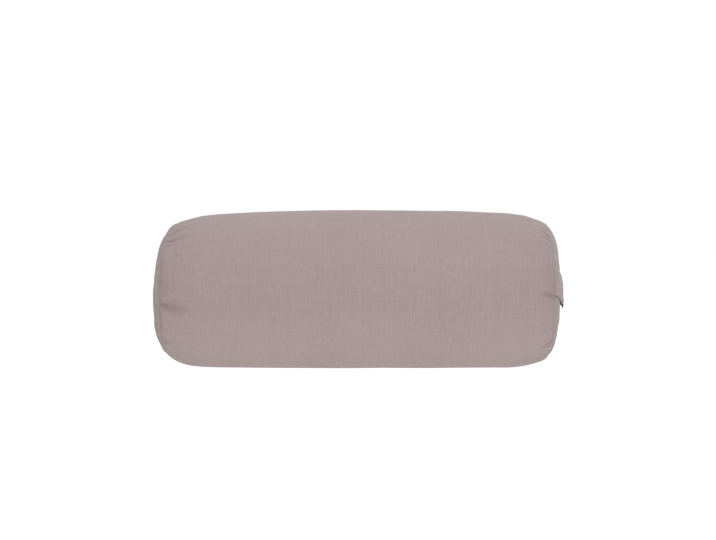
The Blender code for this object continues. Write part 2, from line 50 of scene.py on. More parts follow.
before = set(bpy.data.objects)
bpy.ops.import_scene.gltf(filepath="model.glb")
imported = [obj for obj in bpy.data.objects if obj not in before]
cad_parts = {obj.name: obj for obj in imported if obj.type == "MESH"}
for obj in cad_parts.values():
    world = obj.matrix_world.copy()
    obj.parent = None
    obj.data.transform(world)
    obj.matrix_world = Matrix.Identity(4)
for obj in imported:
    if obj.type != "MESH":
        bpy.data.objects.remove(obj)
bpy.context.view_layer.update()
MM = 0.001
TURN = 2.0 * math.pi

# The form of the stuffed cover, as the frame has it
AXIS_HEIGHT = 111.8 * MM
CROWN_RADIUS = 121.1 * MM
CROWN_BOW = 10.3 * MM
DRAW_IN = 17.5 * MM
DRAW_IN_POWER = 12
SIDE_SPREAD = 6.0 * MM
SEAM_REACH = 287.5 * MM
PLAIN_TOP_LEAN = 11.5 * MM
STRAP_TOP_LEAN = 7.5 * MM
TOP_LEAN_POWER = 3
BOTTOM_LEAN = 5.5 * MM
BOTTOM_LEAN_POWER = 5
STRAP_END_FULLER = 4.0 * MM
STRAP_END_RAISED = 3.0 * MM
FULLER_POWER = 4
PLAIN_SEAM_RAISED = 3.2 * MM
RAISED_BREADTH_POWER = 6
RAISED_LENGTH_POWER = 30
PLAIN_END_REACH = 300.9 * MM
STRAP_END_REACH = 297.8 * MM
PLAIN_END_POWER = 2.9
STRAP_END_POWER = 4.5
RIM_HEIGHT = CROWN_RADIUS - CROWN_BOW - DRAW_IN
REFINEMENTS = 5
GAP = 0.35 * MM
CANVAS = 1.0 * MM
LINING = 0.8 * MM
ALLOWANCE = 7.0 * MM
DIAGONAL = math.sqrt(0.5)
REST_ROUNDING = 2.5 * MM  # how softly the underside turns into its flat patch

# The carrying strap
STRAP_WIDTH = 42.0 * MM
STRAP_THICKNESS = 1.6 * MM
STRAP_SEAM_HEIGHT = 128.0 * MM
STRAP_DROOP = 16.0 * MM
STRAP_STANDOFF = 4.7 * MM
STANDOFF_POWER = 3
STRAP_SPAN = 0.985
STRAP_CUP = 2.0 * MM  # how far its upper edge leans in to the end panel
STITCH_ROW = 0.82  # place of its long stitch rows, as a share of its half width
STITCH_ROW_SINK = 0.35 * MM
SEAM_DIP = (2.4 * MM, 2.6 * MM)  # how far its sewn ends dip into the seam, and over what distance
ROLLED_FROM = 0.94  # share of its half width from which its edges turn over
STITCH_BAR = 0.955  # place of the rows across it at both ends
STRAP_HALF_LENGTH = 97.0 * MM  # from its middle to a seam, on the flat cloth
STRAP_MIDDLE = (108.0 * MM, 24.0 * MM)  # place of its middle on the flat cloth
TAB_SPAN = (-0.42, -0.18)
TAB_HEIGHT = 10.0 * MM
TAB_THICKNESS = 0.5 * MM
TAB_DROP = 2.9 * MM  # of its fold, below the strap's edge
TAB_CLOTH = 0.8 * MM
TAB_FOLD_RADIUS = 0.33 * MM
# Where the tab's leaves close up below the strap's edge, as (distance from its middle, height) in mm
TAB_PINCH = ((0.96, -0.5), (0.62, -1.2), (0.38, -1.9), (0.33, -2.6))
LABEL_DEPTH = 2.6 * MM  # of the care label behind the end panel's face
LABEL_THICKNESS = 0.3 * MM

# The zip, along its centre line
ZIP_ANGLE = math.radians(22.5)
ZIP_RADIUS = 117.5 * MM
ZIP_HALF_LENGTH = 203.0 * MM
ARC_HELD = (16.0 * MM, 47.0 * MM)
LENGTH_HELD = (207.0 * MM, 245.0 * MM)
SLOT_HALF_WIDTH = 4.0 * MM
SLOT_END = (203.5 * MM, 207.0 * MM)  # over this stretch the slot closes
TAPE_ARCS = (0.55 * MM, 14.5 * MM)
TAPE_THICKNESS = 0.6 * MM
TAPE_HALF_LENGTH = 205.0 * MM
COIL_HALF_LENGTH = 196.0 * MM
COIL_REACH = (-0.34 * MM, 2.75 * MM)  # from the centre line, which the turns cross to mesh
COIL_HEIGHT = (-1.0 * MM, 0.9 * MM)  # from the cover's face
ZIP_STITCHING = (2.4 * MM, 4.5 * MM)  # distance of its rows from the slot's edges and from its ends
STRIP_HALF_BREADTH = 5.0 * MM  # of the strips behind the plain closing seams
STRIP_THICKNESS = 0.5 * MM

# The overlocking of the end seams
OVERLOCK_BITE = 3.2 * MM  # how much of the allowances it takes in
OVERLOCK_PITCH = 2.4 * MM
OVERLOCK_THREAD = 0.22 * MM

# The cut pieces of cloth, before sewing
TUBE_CUT = (600.0 * MM, 754.0 * MM)
DISC_CUT = 225.0 * MM
DISC_FULLNESS = 1.06  # of a disc's flat radius to the seam, over the seam's own
CASING_HALF_LENGTH = 268.0 * MM
CASING_FLAT_RADIUS = 119.0 * MM  # the casing's girth over a turn
CASING_DISC_RADIUS = 84.0 * MM
TUCKS = np.array((2.2, 4.6, 7.0)) * MM  # rows of the cover's turned-in allowances, from the stitch line
CASING_TUCKS = np.array((3.0, 6.0)) * MM
CASING_ROOM = 0.5 * MM  # between the cover and the casing
FILLING_ROOM = 0.6 * MM  # between the casing and the filling
CLOTH_MAP = "cloth"
# Name of the point attribute that holds painted shade: in the seams' grooves, in creases, towards the tube's
# ends, along the strap's lower edge and over the turned-in allowances
PAINTED_SHADE = "painted_seam_shade"

Layer = namedtuple("Layer", "depth setback rounding end_depth zip_relief")
COVER = Layer(0.0, 0.0, 0.0, 0.0, 0.0)
LINER = Layer(2.4 * MM, 17.0 * MM, 13.0 * MM, 5.6 * MM, 3.4 * MM)
FILL = Layer(4.2 * MM, 28.0 * MM, 20.0 * MM, 7.4 * MM, 5.4 * MM)
ROUNDING_POWER = 16

Crease = namedtuple("Crease", "path depth width")
# Creases on the side that faces the camera: their points as (x, z) in mm, depth and half width in mm
FRONT_CREASES = (
    Crease(((-276, 194), (-265, 200), (-245, 207)), 2.4, 3.0),
    Crease(((-281, 184), (-266, 188), (-251, 192.5), (-236, 196)), 2.5, 3.0),
    Crease(((-273, 203), (-262, 207), (-249, 211)), 1.2, 2.4),
    Crease(((-284, 95), (-274, 95), (-262, 92), (-244, 85)), 2.9, 6.5),
    Crease(((-278, 88), (-264, 86), (-252, 82)), 1.5, 4.5),
    Crease(((-281, 60), (-268, 58)), 0.7, 3.5),
    Crease(((-284, 42), (-270, 37), (-260, 35)), 1.3, 4.0),
    Crease(((281, 192), (275, 198), (265, 201)), 1.9, 2.8),
    Crease(((283, 187), (277, 190.5), (262, 194)), 1.5, 2.8),
    Crease(((275, 205), (268, 206)), 1.6, 2.6),
    Crease(((247, 217), (262, 214)), 0.6, 3.0),
    Crease(((284, 149), (274, 150)), 0.8, 3.0),
    Crease(((287, 107), (276, 110), (262, 114)), 2.1, 4.6),
    Crease(((286, 44), (277, 36), (262, 33)), 2.2, 3.6),
    Crease(((280, 26), (274, 20), (262, 15), (225, 11)), 1.2, 4.2),
)

# Places where the filling pushes the outline out or leaves it slack, as (x, height, half length) in mm
TOP_SWELLS = ((150, 1.3, 32), (-262, 0.7, 9), (262, -1.1, 9))
BOTTOM_SWELLS = ((276, 1.9, 10), (226, 0.7, 16))
SWELL_BREADTH_POWER = 4
PLAIN_CORNER_DRAWN = 1.3 * MM  # how much further the plain end's seam is drawn in at the bottom
# Places where an end panel is flatter or fuller, as (side, middle height, half height, way out) in mm
END_SWELLS = ((-1, 152, 27, -2.2), (-1, 56, 14, 1.0), (1, 53, 14, -1.0))

# What a crease looks like, from its deep end at the seam on
CREASE_BREADTH = (0.75, 0.7)  # of its half width: the share at its deep end, and the share that it gains
RIDGE_HEIGHT = 0.45  # on both sides of the valley, as a share of its depth
RIDGE_PLACE = 1.9  # half widths from the valley
CREASE_DIP = (0.35, 0.12)  # share of the depth at the seam, and of the length over which it deepens
# Ranges for the scattered creases, in mm where they are lengths
CREASE_SPACING = 0.075  # of a turn
CREASE_LENGTHS = (12, 42)
CREASE_DEPTHS = (0.4, 1.1)
CREASE_WIDTHS = (3.4, 6.0)
ZIP_MARGIN = 20 * MM  # beside the zip, where there are none

# Ripples beside a seam, as (reach, share of the puckers' height, waves in a turn)
TUBE_PUCKERS = ((9 * MM, 1.0, (23, 29, 37, 46)), (26 * MM, 1.3, (9, 13, 17, 22)))
END_PUCKERS = ((7 * MM, 1.0, (31, 40, 52)), (20 * MM, 1.6, (7, 11, 16)))
GROOVE_WAVES = (6, 11, 23, 41)
# Waves in a turn of the painted shade's unevenness along a seam
PAINTED_SHADE_WAVES = (5, 9, 16, 27)
TUBE_LUMPS = 14
END_LUMPS = 6


# Settings that a user would change

def colour_setting(name, default, description):
    return FloatVectorProperty(
        name=name, description=description, subtype="COLOR", size=3, min=0.0, max=1.0, default=default)


def length_setting(name, default, description, least=0.0):
    return FloatProperty(name=name, description=description, unit="LENGTH", default=default, min=least)


def power_setting(name, default, description):
    return FloatProperty(name=name, description=description, unit="POWER", default=default)


def share_setting(name, default, description):
    return FloatProperty(name=name, description=description, default=default, min=0.0)


class CoverSettings(bpy.types.PropertyGroup):
    colour: colour_setting("Canvas", (0.402, 0.314, 0.304), "Colour of the dusty-rose canvas")
    yarn: length_setting(
        "Yarn spacing", 0.95 * MM, "Distance from one yarn of the canvas to the next", 0.2 * MM)
    groove: length_setting("Seam groove", 1.1 * MM, "How deep the end seams lie between the panels")
    groove_width: length_setting(
        "Groove width", 2.6 * MM, "Distance over which the groove fades out", 0.5 * MM)
    pucker: length_setting("Seam puckers", 0.42 * MM, "Height of the small ripples along the end seams")
    lumps: length_setting("Filling lumps", 0.45 * MM, "Height of the long, soft swells over the filling")
    pressure: FloatProperty(
        name="Filling pressure", description="How hard the filling presses on the cloth", default=4.0)
    settle_frames: IntProperty(
        name="Settling frames", description="Frames for which the cloth settles", default=20, min=2)
    most_move: length_setting("Most movement", 2.0 * MM, "How far the settling may move a point of the cloth")
    seed: IntProperty(name="Seed", description="Picks the pattern of ripples and creases", default=7)


class StrapSettings(bpy.types.PropertyGroup):
    puff: length_setting(
        "Puff", 0.35 * MM, "How far the strap's folded cloth stands up between its stitch rows")
    stitch: length_setting("Stitch length", 2.6 * MM, "Length of a stitch on the surface", 0.5 * MM)
    stitch_gap: length_setting("Stitch gap", 0.7 * MM, "Distance between two stitches of a row", 0.1 * MM)
    thread: length_setting("Thread radius", 0.26 * MM, "Radius of the sewing thread", 0.05 * MM)
    thread_colour: colour_setting("Thread", (0.43, 0.335, 0.322), "Colour of the sewing thread")
    tab_colour: colour_setting("Tab", (0.028, 0.025, 0.026), "Colour of the bare woven tab under the strap")


class ZipSettings(bpy.types.PropertyGroup):
    pitch: length_setting("Coil pitch", 1.45 * MM, "Distance from one turn of the coil to the next", 0.5 * MM)
    wire: length_setting("Coil wire", 0.33 * MM, "Radius of the nylon that the coil is wound from", 0.1 * MM)
    tape_colour: colour_setting("Tape", (0.36, 0.28, 0.275), "Colour of the zip's tape")
    coil_colour: colour_setting("Coil", (0.33, 0.255, 0.25), "Colour of the zip's nylon coil")
    metal_colour: colour_setting("Metal", (0.45, 0.43, 0.42), "Colour of the slider, puller and stops")


class InnerSettings(bpy.types.PropertyGroup):
    cotton: colour_setting("Casing", (0.72, 0.66, 0.56), "Colour of the inner cushion's cotton casing")
    fibre: colour_setting("Filling", (0.83, 0.80, 0.73), "Colour of the loose filling")
    thread: colour_setting("Casing thread", (0.76, 0.72, 0.64), "Colour of the casing's thread")


class StageSettings(bpy.types.PropertyGroup):
    distance: length_setting("Camera distance", 5.0, "From the bolster's middle to the camera", 1.0)
    elevation: FloatProperty(
        name="Elevation", description="Height of the camera above the horizon, as an angle",
        subtype="ANGLE", default=math.radians(0.6))
    view_width: length_setting("View width", 1.0597, "Width of the picture at the bolster", 0.1)
    aim_across: FloatProperty(
        name="Aim across", description="X of the picture's centre", unit="LENGTH", default=1.2 * MM)
    aim_height: FloatProperty(
        name="Aim height", description="Height of the picture's centre", unit="LENGTH", default=144.3 * MM)
    ambient: share_setting("Ambient light", 0.27, "Strength of the even light from all round")
    front: power_setting("Front soft box", 34.0, "Power of the large soft box beside the camera")
    top: power_setting("Top soft box", 46.0, "Power of the large soft box overhead")
    back: power_setting("Back soft box", 20.0, "Power of the soft box behind the bolster")
    floor_glow: share_setting("Floor glow", 0.74, "Light of the lit table that the bolster lies on")
    floor_white: share_setting("Floor white", 0.23, "Extra white of the floor in pictures only")


def settings():
    return bpy.context.scene.bolster


class BolsterSettings(bpy.types.PropertyGroup):
    cover: PointerProperty(type=CoverSettings, name="Cover", description="The canvas cover")
    strap: PointerProperty(type=StrapSettings, name="Strap", description="The strap, tab and stitching")
    zip: PointerProperty(type=ZipSettings, name="Zip", description="The zip")
    inner: PointerProperty(type=InnerSettings, name="Inner cushion", description="The inner cushion")
    stage: PointerProperty(type=StageSettings, name="Stage", description="Camera, floor and lights")


# Shape of the cloth

def fade(value, start, end):
    """1 up to start, 0 from end on, smooth between."""
    share = np.clip((value - start) / (end - start), 0.0, 1.0)
    return 1.0 - share * share * (3.0 - 2.0 * share)


def at_least(value, floor):
    """value, held softly above floor."""
    return floor + REST_ROUNDING * np.logaddexp(0.0, (value - floor) / REST_ROUNDING)


def seam_reach(side, angle):
    """Distance of an end seam from mid-length. side is negative at the plain end."""
    rise = np.sin(angle)
    top_lean = np.where(np.asarray(side) > 0, STRAP_TOP_LEAN, PLAIN_TOP_LEAN)
    size = np.abs(rise)
    lean = np.where(rise > 0, top_lean * size**TOP_LEAN_POWER, BOTTOM_LEAN * size**BOTTOM_LEAN_POWER)
    return SEAM_REACH - lean


def fullness(side, angle):
    """How much an end's seam stands out beyond an evenly drawn-in one."""
    rise = np.sin(angle)
    plain = PLAIN_SEAM_RAISED * np.maximum(rise, 0.0) ** RAISED_BREADTH_POWER
    return np.where(np.asarray(side) > 0, STRAP_END_FULLER + STRAP_END_RAISED * rise, plain)


def rim_radius(side, angle):
    return RIM_HEIGHT + fullness(side, angle)


def arc_from_zip(angle):
    turn = (angle - ZIP_ANGLE + math.pi) % TURN - math.pi
    return np.abs(turn) * ZIP_RADIUS


def zip_hold(x, angle):
    """How firmly the zip holds the cover straight: 1 at the zip, 0 away from it."""
    return fade(arc_from_zip(angle), *ARC_HELD) * fade(np.abs(x), *LENGTH_HELD)


def wall_section(x, angle):
    """Radius and sideways spread of the cover's face."""
    share = np.abs(x) / seam_reach(x, angle)
    radius = CROWN_RADIUS - CROWN_BOW * share**2 - DRAW_IN * share**DRAW_IN_POWER
    power = np.where(np.asarray(x) > 0, FULLER_POWER, RAISED_LENGTH_POWER)
    radius = radius + fullness(x, angle) * share**power
    held = zip_hold(x, angle)
    spread = SIDE_SPREAD * (x / SEAM_REACH) ** 2
    return radius + held * (ZIP_RADIUS - radius), spread * (1.0 - held)


def tube_points(station, angle, layer=COVER, slant=0.0, inset=0.0):
    """Points of a layer's tube, from station -1 at the plain end's seam to 1 at the strap end's."""
    station, angle = np.broadcast_arrays(np.asarray(station, float), np.asarray(angle, float))
    x = station * (seam_reach(station, angle) - layer.setback)
    relief = layer.zip_relief * fade(arc_from_zip(angle), *ARC_HELD)
    depth = layer.depth + inset + relief + layer.rounding * np.abs(station) ** ROUNDING_POWER
    radius, spread = wall_section(x, angle)
    radius = radius - depth - slant
    y = (radius + spread) * np.cos(angle)
    z = at_least(AXIS_HEIGHT + radius * np.sin(angle), layer.depth + inset)
    return np.stack([x - np.copysign(slant, station), y, z], axis=-1)


def end_points(side, ring, angle, layer=COVER, slant=0.0, clear=0.0):
    """Points of a layer's end panel, from its middle at ring 0 to its seam at ring 1."""
    ring, angle = np.broadcast_arrays(np.asarray(ring, float), np.asarray(angle, float))
    rim = tube_points(float(side), angle, layer, slant=slant + clear * DIAGONAL)
    rim_x = rim[..., 0] + side * 2 * clear * DIAGONAL
    reach = (STRAP_END_REACH if side > 0 else PLAIN_END_REACH) - layer.end_depth
    power = STRAP_END_POWER if side > 0 else PLAIN_END_POWER
    x = rim_x + side * (reach - np.abs(rim_x)) * (1.0 - ring**power)
    z = AXIS_HEIGHT + (rim[..., 2] - AXIS_HEIGHT) * ring
    return np.stack([x, rim[..., 1] * ring, z], axis=-1)


def end_face(side, y, z):
    """Distance of an end panel's face from mid-length, at a breadth and height."""
    angle = np.zeros(np.broadcast(y, z).shape)
    for _ in range(REFINEMENTS):
        across = y / (rim_radius(side, angle) + SIDE_SPREAD)
        up = (z - AXIS_HEIGHT) / rim_radius(side, angle)
        angle = np.arctan2(up, across)
    ring = np.minimum(np.hypot(across, up), 1.0)
    return np.abs(end_points(side, ring, angle)[..., 0])


def strap_face(along, across):
    """Inner face of the strap: along -1 at the front seam to 1 at the back, across -1 below to 1 above."""
    along, across = np.broadcast_arrays(np.asarray(along, float), np.asarray(across, float))
    middle = STRAP_SEAM_HEIGHT - STRAP_DROOP * (1.0 - along * along)
    z = middle + across * STRAP_WIDTH / 2
    angle = np.zeros(z.shape)
    for _ in range(REFINEMENTS):
        angle = np.arcsin((z - AXIS_HEIGHT) / rim_radius(1, angle))
    y = along * STRAP_SPAN * (rim_radius(1, angle) + SIDE_SPREAD) * np.cos(angle)
    standoff = GAP + (STRAP_STANDOFF - GAP) * (1.0 - along * along) ** STANDOFF_POWER
    return np.stack([end_face(1, y, z) + standoff, y, z], axis=-1)


# Ripples and creases

def ripples(angle, counts, rng):
    """A sum of waves round a seam, with about unit height."""
    waves = [np.cos(count * angle + rng.uniform(0, TURN)) * rng.uniform(0.5, 1.0) for count in counts]
    return sum(waves) / math.sqrt(len(counts))


def crease_height(x, angle, path, depth, width):
    """Height of one crease over the cloth. path holds (x, angle) points, from its deep end on."""
    radius = CROWN_RADIUS - DRAW_IN / 2
    middle = path[0][1]
    turn = (angle - middle + math.pi) % TURN - math.pi
    here = np.stack([x, turn * radius], axis=-1)
    nodes = np.array([(px, (pa - middle) * radius) for px, pa in path])
    lengths = np.linalg.norm(np.diff(nodes, axis=0), axis=1)
    total, before = lengths.sum(), 0.0
    best = np.full(x.shape, np.inf)
    signed, along = np.zeros(x.shape), np.zeros(x.shape)
    for start, end, length in zip(nodes, nodes[1:], lengths):
        direction = (end - start) / length
        reach = np.clip((here - start) @ direction, 0.0, length)
        offset = here - start - reach[..., None] * direction
        distance = np.linalg.norm(offset, axis=-1)
        side = offset[..., 0] * direction[1] - offset[..., 1] * direction[0]
        nearer = distance < best
        best = np.where(nearer, distance, best)
        signed = np.where(nearer, np.copysign(distance, side), signed)
        along = np.where(nearer, (before + reach) / total, along)
        before += length
    narrow, gain = CREASE_BREADTH
    spread = width * (narrow + gain * along)
    valley = -np.exp(-((signed / spread) ** 2))
    ridge = RIDGE_HEIGHT * np.exp(-(((np.abs(signed) - RIDGE_PLACE * spread) / spread) ** 2))
    start, deepening = CREASE_DIP
    strength = (1.0 - along) ** 0.8 * (start + (1.0 - start) * np.clip(along / deepening, 0.0, 1.0))
    return depth * strength * (valley + ridge)


def front_path(points):
    """Turns (x, z) points of the near side, in mm, into (x, angle)."""
    path = []
    for x, z in points:
        angle = math.pi
        for _ in range(REFINEMENTS):
            radius, _ = wall_section(x * MM, angle)
            angle = math.pi - math.asin(max(-1.0, min(1.0, (z * MM - AXIS_HEIGHT) / float(radius))))
        path.append((x * MM, angle))
    return path


def scattered_creases(seed):
    """Creases that run from the end seams on the sides that the front list leaves out."""
    rng = np.random.default_rng(seed)
    found = []
    for side in (-1, 1):
        for middle in np.arange(0.06, 1.0, CREASE_SPACING):
            angle = middle * TURN + rng.uniform(-0.12, 0.12)
            length, lean = rng.uniform(*CREASE_LENGTHS) * MM, rng.uniform(-0.10, 0.10)
            depth, width = rng.uniform(*CREASE_DEPTHS) * MM, rng.uniform(*CREASE_WIDTHS) * MM
            if math.cos(angle) < 0.12 or arc_from_zip(angle) < ZIP_MARGIN:
                continue
            start = side * (float(seam_reach(side, angle)) - 2 * MM)
            bend = (start - side * length / 2, angle + lean * 0.3)
            found.append(([(start, angle), bend, (start - side * length, angle + lean)], depth, width))
    return found


def crease_relief(x, angle, chosen):
    """Height of all the placed and scattered creases over the cover's tube."""
    height = np.zeros(x.shape)
    for crease in FRONT_CREASES:
        path = front_path(crease.path)
        height += crease_height(x, angle, path, crease.depth * MM, crease.width * MM)
    for path, depth, width in scattered_creases(chosen.seed):
        height += crease_height(x, angle, path, depth, width)
    return height * (1.0 - zip_hold(x, angle))


def puckers(kinds, distance, angle, rng):
    """Height of the ripples beside a seam, where 1 is the setting for their height."""
    return sum(share * np.exp(-distance / reach) * ripples(angle, waves, rng)
               for reach, share, waves in kinds)


def tube_relief(x, angle, chosen):
    """Height of the ripples and soft lumps over the cover's tube."""
    seam_distance = seam_reach(x, angle) - np.abs(x)
    height = np.zeros(x.shape)
    for side in (-1, 1):
        rng = np.random.default_rng(chosen.seed + side)
        height += chosen.pucker * puckers(TUBE_PUCKERS, seam_distance, angle, rng) * (np.sign(x) == side)
    rng = np.random.default_rng(chosen.seed + 11)
    for _ in range(TUBE_LUMPS):
        count, wave = rng.integers(2, 9), rng.uniform(12, 60)
        swell = np.cos(count * angle + rng.uniform(0, TURN)) * np.cos(wave * x + rng.uniform(0, TURN))
        height += chosen.lumps * 0.3 * swell * (1.0 - 0.75 * np.sin(angle) ** 8)
    for spots, rise in ((TOP_SWELLS, np.sin(angle)), (BOTTOM_SWELLS, -np.sin(angle))):
        for middle, top, half in spots:
            near = np.exp(-(((x - middle * MM) / (half * MM)) ** 2))
            height += top * MM * near * np.maximum(rise, 0.0) ** SWELL_BREADTH_POWER
    return height * (1.0 - zip_hold(x, angle))


def end_relief(side, ring, angle, chosen):
    """Height of the puckers over an end panel, which run in from its seam."""
    rng = np.random.default_rng(chosen.seed + 20 + side)
    distance = (1.0 - ring) * RIM_HEIGHT
    height = chosen.pucker * puckers(END_PUCKERS, distance, angle, rng)
    for _ in range(END_LUMPS):
        count = rng.integers(1, 4)
        height += chosen.lumps * 0.35 * ring * np.cos(count * angle + rng.uniform(0, TURN)) * np.cos(4 * ring)
    return height


# Settling the cloth over its filling

COARSE_COLUMNS = 120
COARSE_STATIONS = np.linspace(-1.0, 1.0, 97)
COARSE_RINGS = np.linspace(0.0, 1.0, 17)[1:-1]
END_LOOSENESS = 0.93  # of the end panels, where a tube's seam is 1 and its middle 0
LEAST_HOLD = 0.05  # points held less than this are left free
SETTLING_CLOTH = {
    "quality": 6, "mass": 0.25, "tension_stiffness": 18.0, "compression_stiffness": 18.0,
    "shear_stiffness": 6.0, "bending_stiffness": 0.35, "tension_damping": 12.0,
    "compression_damping": 12.0, "shrink_min": -0.035, "use_pressure": True,
}
FILLED_OUT = 5  # fewer waves in a turn than this are the filling's own form


def closed_faces(rows, columns, start=0):
    """Quads of a grid whose last column joins its first."""
    found = []
    for row in range(rows - 1):
        low, high = start + row * columns, start + (row + 1) * columns
        for k in range(columns):
            after = (k + 1) % columns
            found.append((low + k, low + after, high + after, high + k))
    return found


def simulated(form, held, chosen):
    """Where form's points lie once it has settled as cloth, with those of the group held kept in place."""
    modifier = form.modifiers.new("Cloth", "CLOTH")
    for name, value in SETTLING_CLOTH.items():
        setattr(modifier.settings, name, value)
    modifier.settings.uniform_pressure_force = chosen.pressure
    modifier.settings.vertex_group_mass = held.name
    modifier.settings.effector_weights.gravity = 0.0
    modifier.collision_settings.use_collision = False
    modifier.point_cache.frame_start = 1
    modifier.point_cache.frame_end = chosen.settle_frames
    for step in range(1, chosen.settle_frames + 1):
        bpy.context.scene.frame_set(step)
    settled = form.evaluated_get(bpy.context.evaluated_depsgraph_get())
    flat = np.zeros(len(settled.data.vertices) * 3)
    settled.data.vertices.foreach_get("co", flat)
    bpy.data.objects.remove(form, do_unlink=True)
    bpy.context.scene.frame_set(1)
    return flat.reshape(-1, 3)


def kept_movement(moved, angles, most_move):
    """The part of the settling that is kept: its short waves, held to most_move and to less at mid-length."""
    waves = np.fft.rfft(moved, axis=1)
    waves[:, :FILLED_OUT] = 0.0
    moved = np.fft.irfft(waves, n=COARSE_COLUMNS, axis=1)
    loose = np.full(len(COARSE_RINGS), END_LOOSENESS)
    near_seam = np.concatenate([loose, np.abs(COARSE_STATIONS), loose])
    most = most_move * (0.15 + 0.85 * near_seam**8)[:, None, None]
    most = most * (1.0 - 0.6 * np.sin(angles) ** 8)[None, :, None]
    return moved * np.minimum(1.0, most / np.maximum(np.linalg.norm(moved, axis=2, keepdims=True), 1e-9))


def settled_cover(chosen):
    """Movement of the stuffed cover's cloth on a coarse grid: of the tube, the left and the right end."""
    angles = ZIP_ANGLE + TURN * np.arange(COARSE_COLUMNS) / COARSE_COLUMNS
    tube = tube_points(COARSE_STATIONS[:, None], angles[None, :])
    ends = {side: end_points(side, COARSE_RINGS[:, None], angles[None, :]) for side in (-1, 1)}
    poles = {side: end_points(side, 0.0, 0.0).reshape(1, 3) for side in (-1, 1)}
    blank = np.zeros_like(tube), np.zeros_like(ends[-1]), np.zeros_like(ends[1])
    if chosen.most_move == 0.0:
        return blank

    rows = [ends[-1], tube, ends[1][::-1]]
    grid = np.concatenate([r.reshape(-1, 3) for r in rows])
    count = len(COARSE_STATIONS) + 2 * len(COARSE_RINGS)
    points = np.concatenate([grid, poles[-1], poles[1]])
    faces = closed_faces(count, COARSE_COLUMNS)
    left, right, last = len(grid), len(grid) + 1, (count - 1) * COARSE_COLUMNS
    for k in range(COARSE_COLUMNS):
        after = (k + 1) % COARSE_COLUMNS
        faces += [(left, after, k), (right, last + k, last + after)]
    mesh = bpy.data.meshes.new("settling_cloth")
    mesh.from_pydata(points.tolist(), [], faces)
    form = placed("settling_cloth", mesh)
    closed_up(mesh)

    first = len(COARSE_RINGS) * COARSE_COLUMNS
    final = first + (len(COARSE_STATIONS) - 1) * COARSE_COLUMNS
    seams = list(range(first, first + COARSE_COLUMNS)) + list(range(final, final + COARSE_COLUMNS))
    held = form.vertex_groups.new(name="held")
    hold = zip_hold(tube[..., 0], np.broadcast_to(angles, tube.shape[:2])).ravel()
    under = np.clip(1.0 - tube[..., 2].ravel() / (6 * MM), 0.0, 1.0)
    firm = np.maximum(hold, under)
    for k in np.flatnonzero(firm > LEAST_HOLD):
        held.add([int(first + k)], float(firm[k]), "REPLACE")
    held.add(seams, 1.0, "REPLACE")
    moved = simulated(form, held, chosen)[: len(grid)] - grid
    moved = kept_movement(moved.reshape(count, COARSE_COLUMNS, 3), angles, chosen.most_move)
    rings = len(COARSE_RINGS)
    return moved[rings:-rings], moved[:rings], moved[-rings:][::-1]


def between_rows(values, where, wrap=False):
    """values at fractional rows, along smooth curves through the rows."""
    base = np.floor(where).astype(int)
    t = (where - base).reshape(-1, *[1] * (values.ndim - 1))
    count = len(values)
    index = [base + k for k in (-1, 0, 1, 2)]
    index = [i % count if wrap else np.clip(i, 0, count - 1) for i in index]
    a, b, c, d = (values[i] for i in index)
    return b + 0.5 * t * (c - a + t * (2 * a - 5 * b + 4 * c - d + t * (3 * (b - c) + d - a)))


def spread_movement(moved, rows, angles):
    """Coarse movement brought to finer rows and angles."""
    there = between_rows(moved, rows)
    columns = ((angles - ZIP_ANGLE) / TURN * COARSE_COLUMNS) % COARSE_COLUMNS
    return between_rows(there.swapaxes(0, 1), columns, wrap=True).swapaxes(0, 1)


# Meshes

def placed(name, data):
    """A new object that holds data, in the scene."""
    made = bpy.data.objects.new(name, data)
    bpy.context.scene.collection.objects.link(made)
    return made


def closed_up(mesh):
    """Fills a mesh's holes, if it has any, and turns its faces outwards."""
    form = bmesh.new()
    form.from_mesh(mesh)
    rims = [edge for edge in form.edges if edge.is_boundary]
    if rims:
        bmesh.ops.holes_fill(form, edges=rims, sides=0)
    bmesh.ops.recalc_face_normals(form, faces=form.faces)
    form.to_mesh(mesh)
    form.free()


def flat_map(along, across):
    """Places on the flat cloth for a grid of points, from their distances along and across it."""
    return np.stack(np.broadcast_arrays(along, across), -1)


def disc_map(radius, rings, tucks, angle, centre):
    """Places on a flat disc of cloth, out to its seam at radius and on over the allowance's rows."""
    reach = np.concatenate([rings * radius, radius + tucks])
    return centre + reach[:, None, None] * np.stack([np.cos(angle), np.sin(angle)], -1)


def with_allowances(flat, tucks):
    """Places along the flat cloth, with those of the allowances' rows before and after them."""
    return np.concatenate([flat[0] - tucks[::-1], flat, flat[-1] + tucks])


def turned_in(rim, side, angle, tucks, layer=COVER):
    """Rows of points of a seam allowance, which leans in from a rim."""
    inward = tube_points(float(side), angle, layer, slant=MM) - tube_points(float(side), angle, layer)
    return np.stack([rim + inward / MM * tuck * DIAGONAL for tuck in tucks])


def sheet_object(name, points, uv=None, wrap=False, pole=None):
    """An object from a grid of points, rows by columns. wrap joins the last column to the first.

    pole closes the first row to a point. uv holds a place on the flat cloth for each grid point.
    """
    rows, columns = points.shape[:2]
    flat = points.reshape(-1, 3).tolist()
    places = None if uv is None else uv.reshape(-1, 2).tolist()
    if wrap:
        faces = closed_faces(rows, columns)
    else:
        faces = [
            (r * columns + k, r * columns + k + 1, (r + 1) * columns + k + 1, (r + 1) * columns + k)
            for r in range(rows - 1) for k in range(columns - 1)]
    if pole is not None:
        middle = len(flat)
        flat.append(list(pole))
        faces += [(middle, (k + 1) % columns, k) for k in range(columns)]
        if places is not None:
            places.append([sum(p[k] for p in places[:columns]) / columns for k in (0, 1)])
    mesh = bpy.data.meshes.new(name)
    mesh.from_pydata(flat, [], faces)
    if places is not None:
        layer = mesh.uv_layers.new(name=CLOTH_MAP)
        corners = np.zeros(len(mesh.loops), int)
        mesh.loops.foreach_get("vertex_index", corners)
        layer.data.foreach_set("uv", np.array(places, np.float32)[corners].ravel())
    return placed(name, mesh)


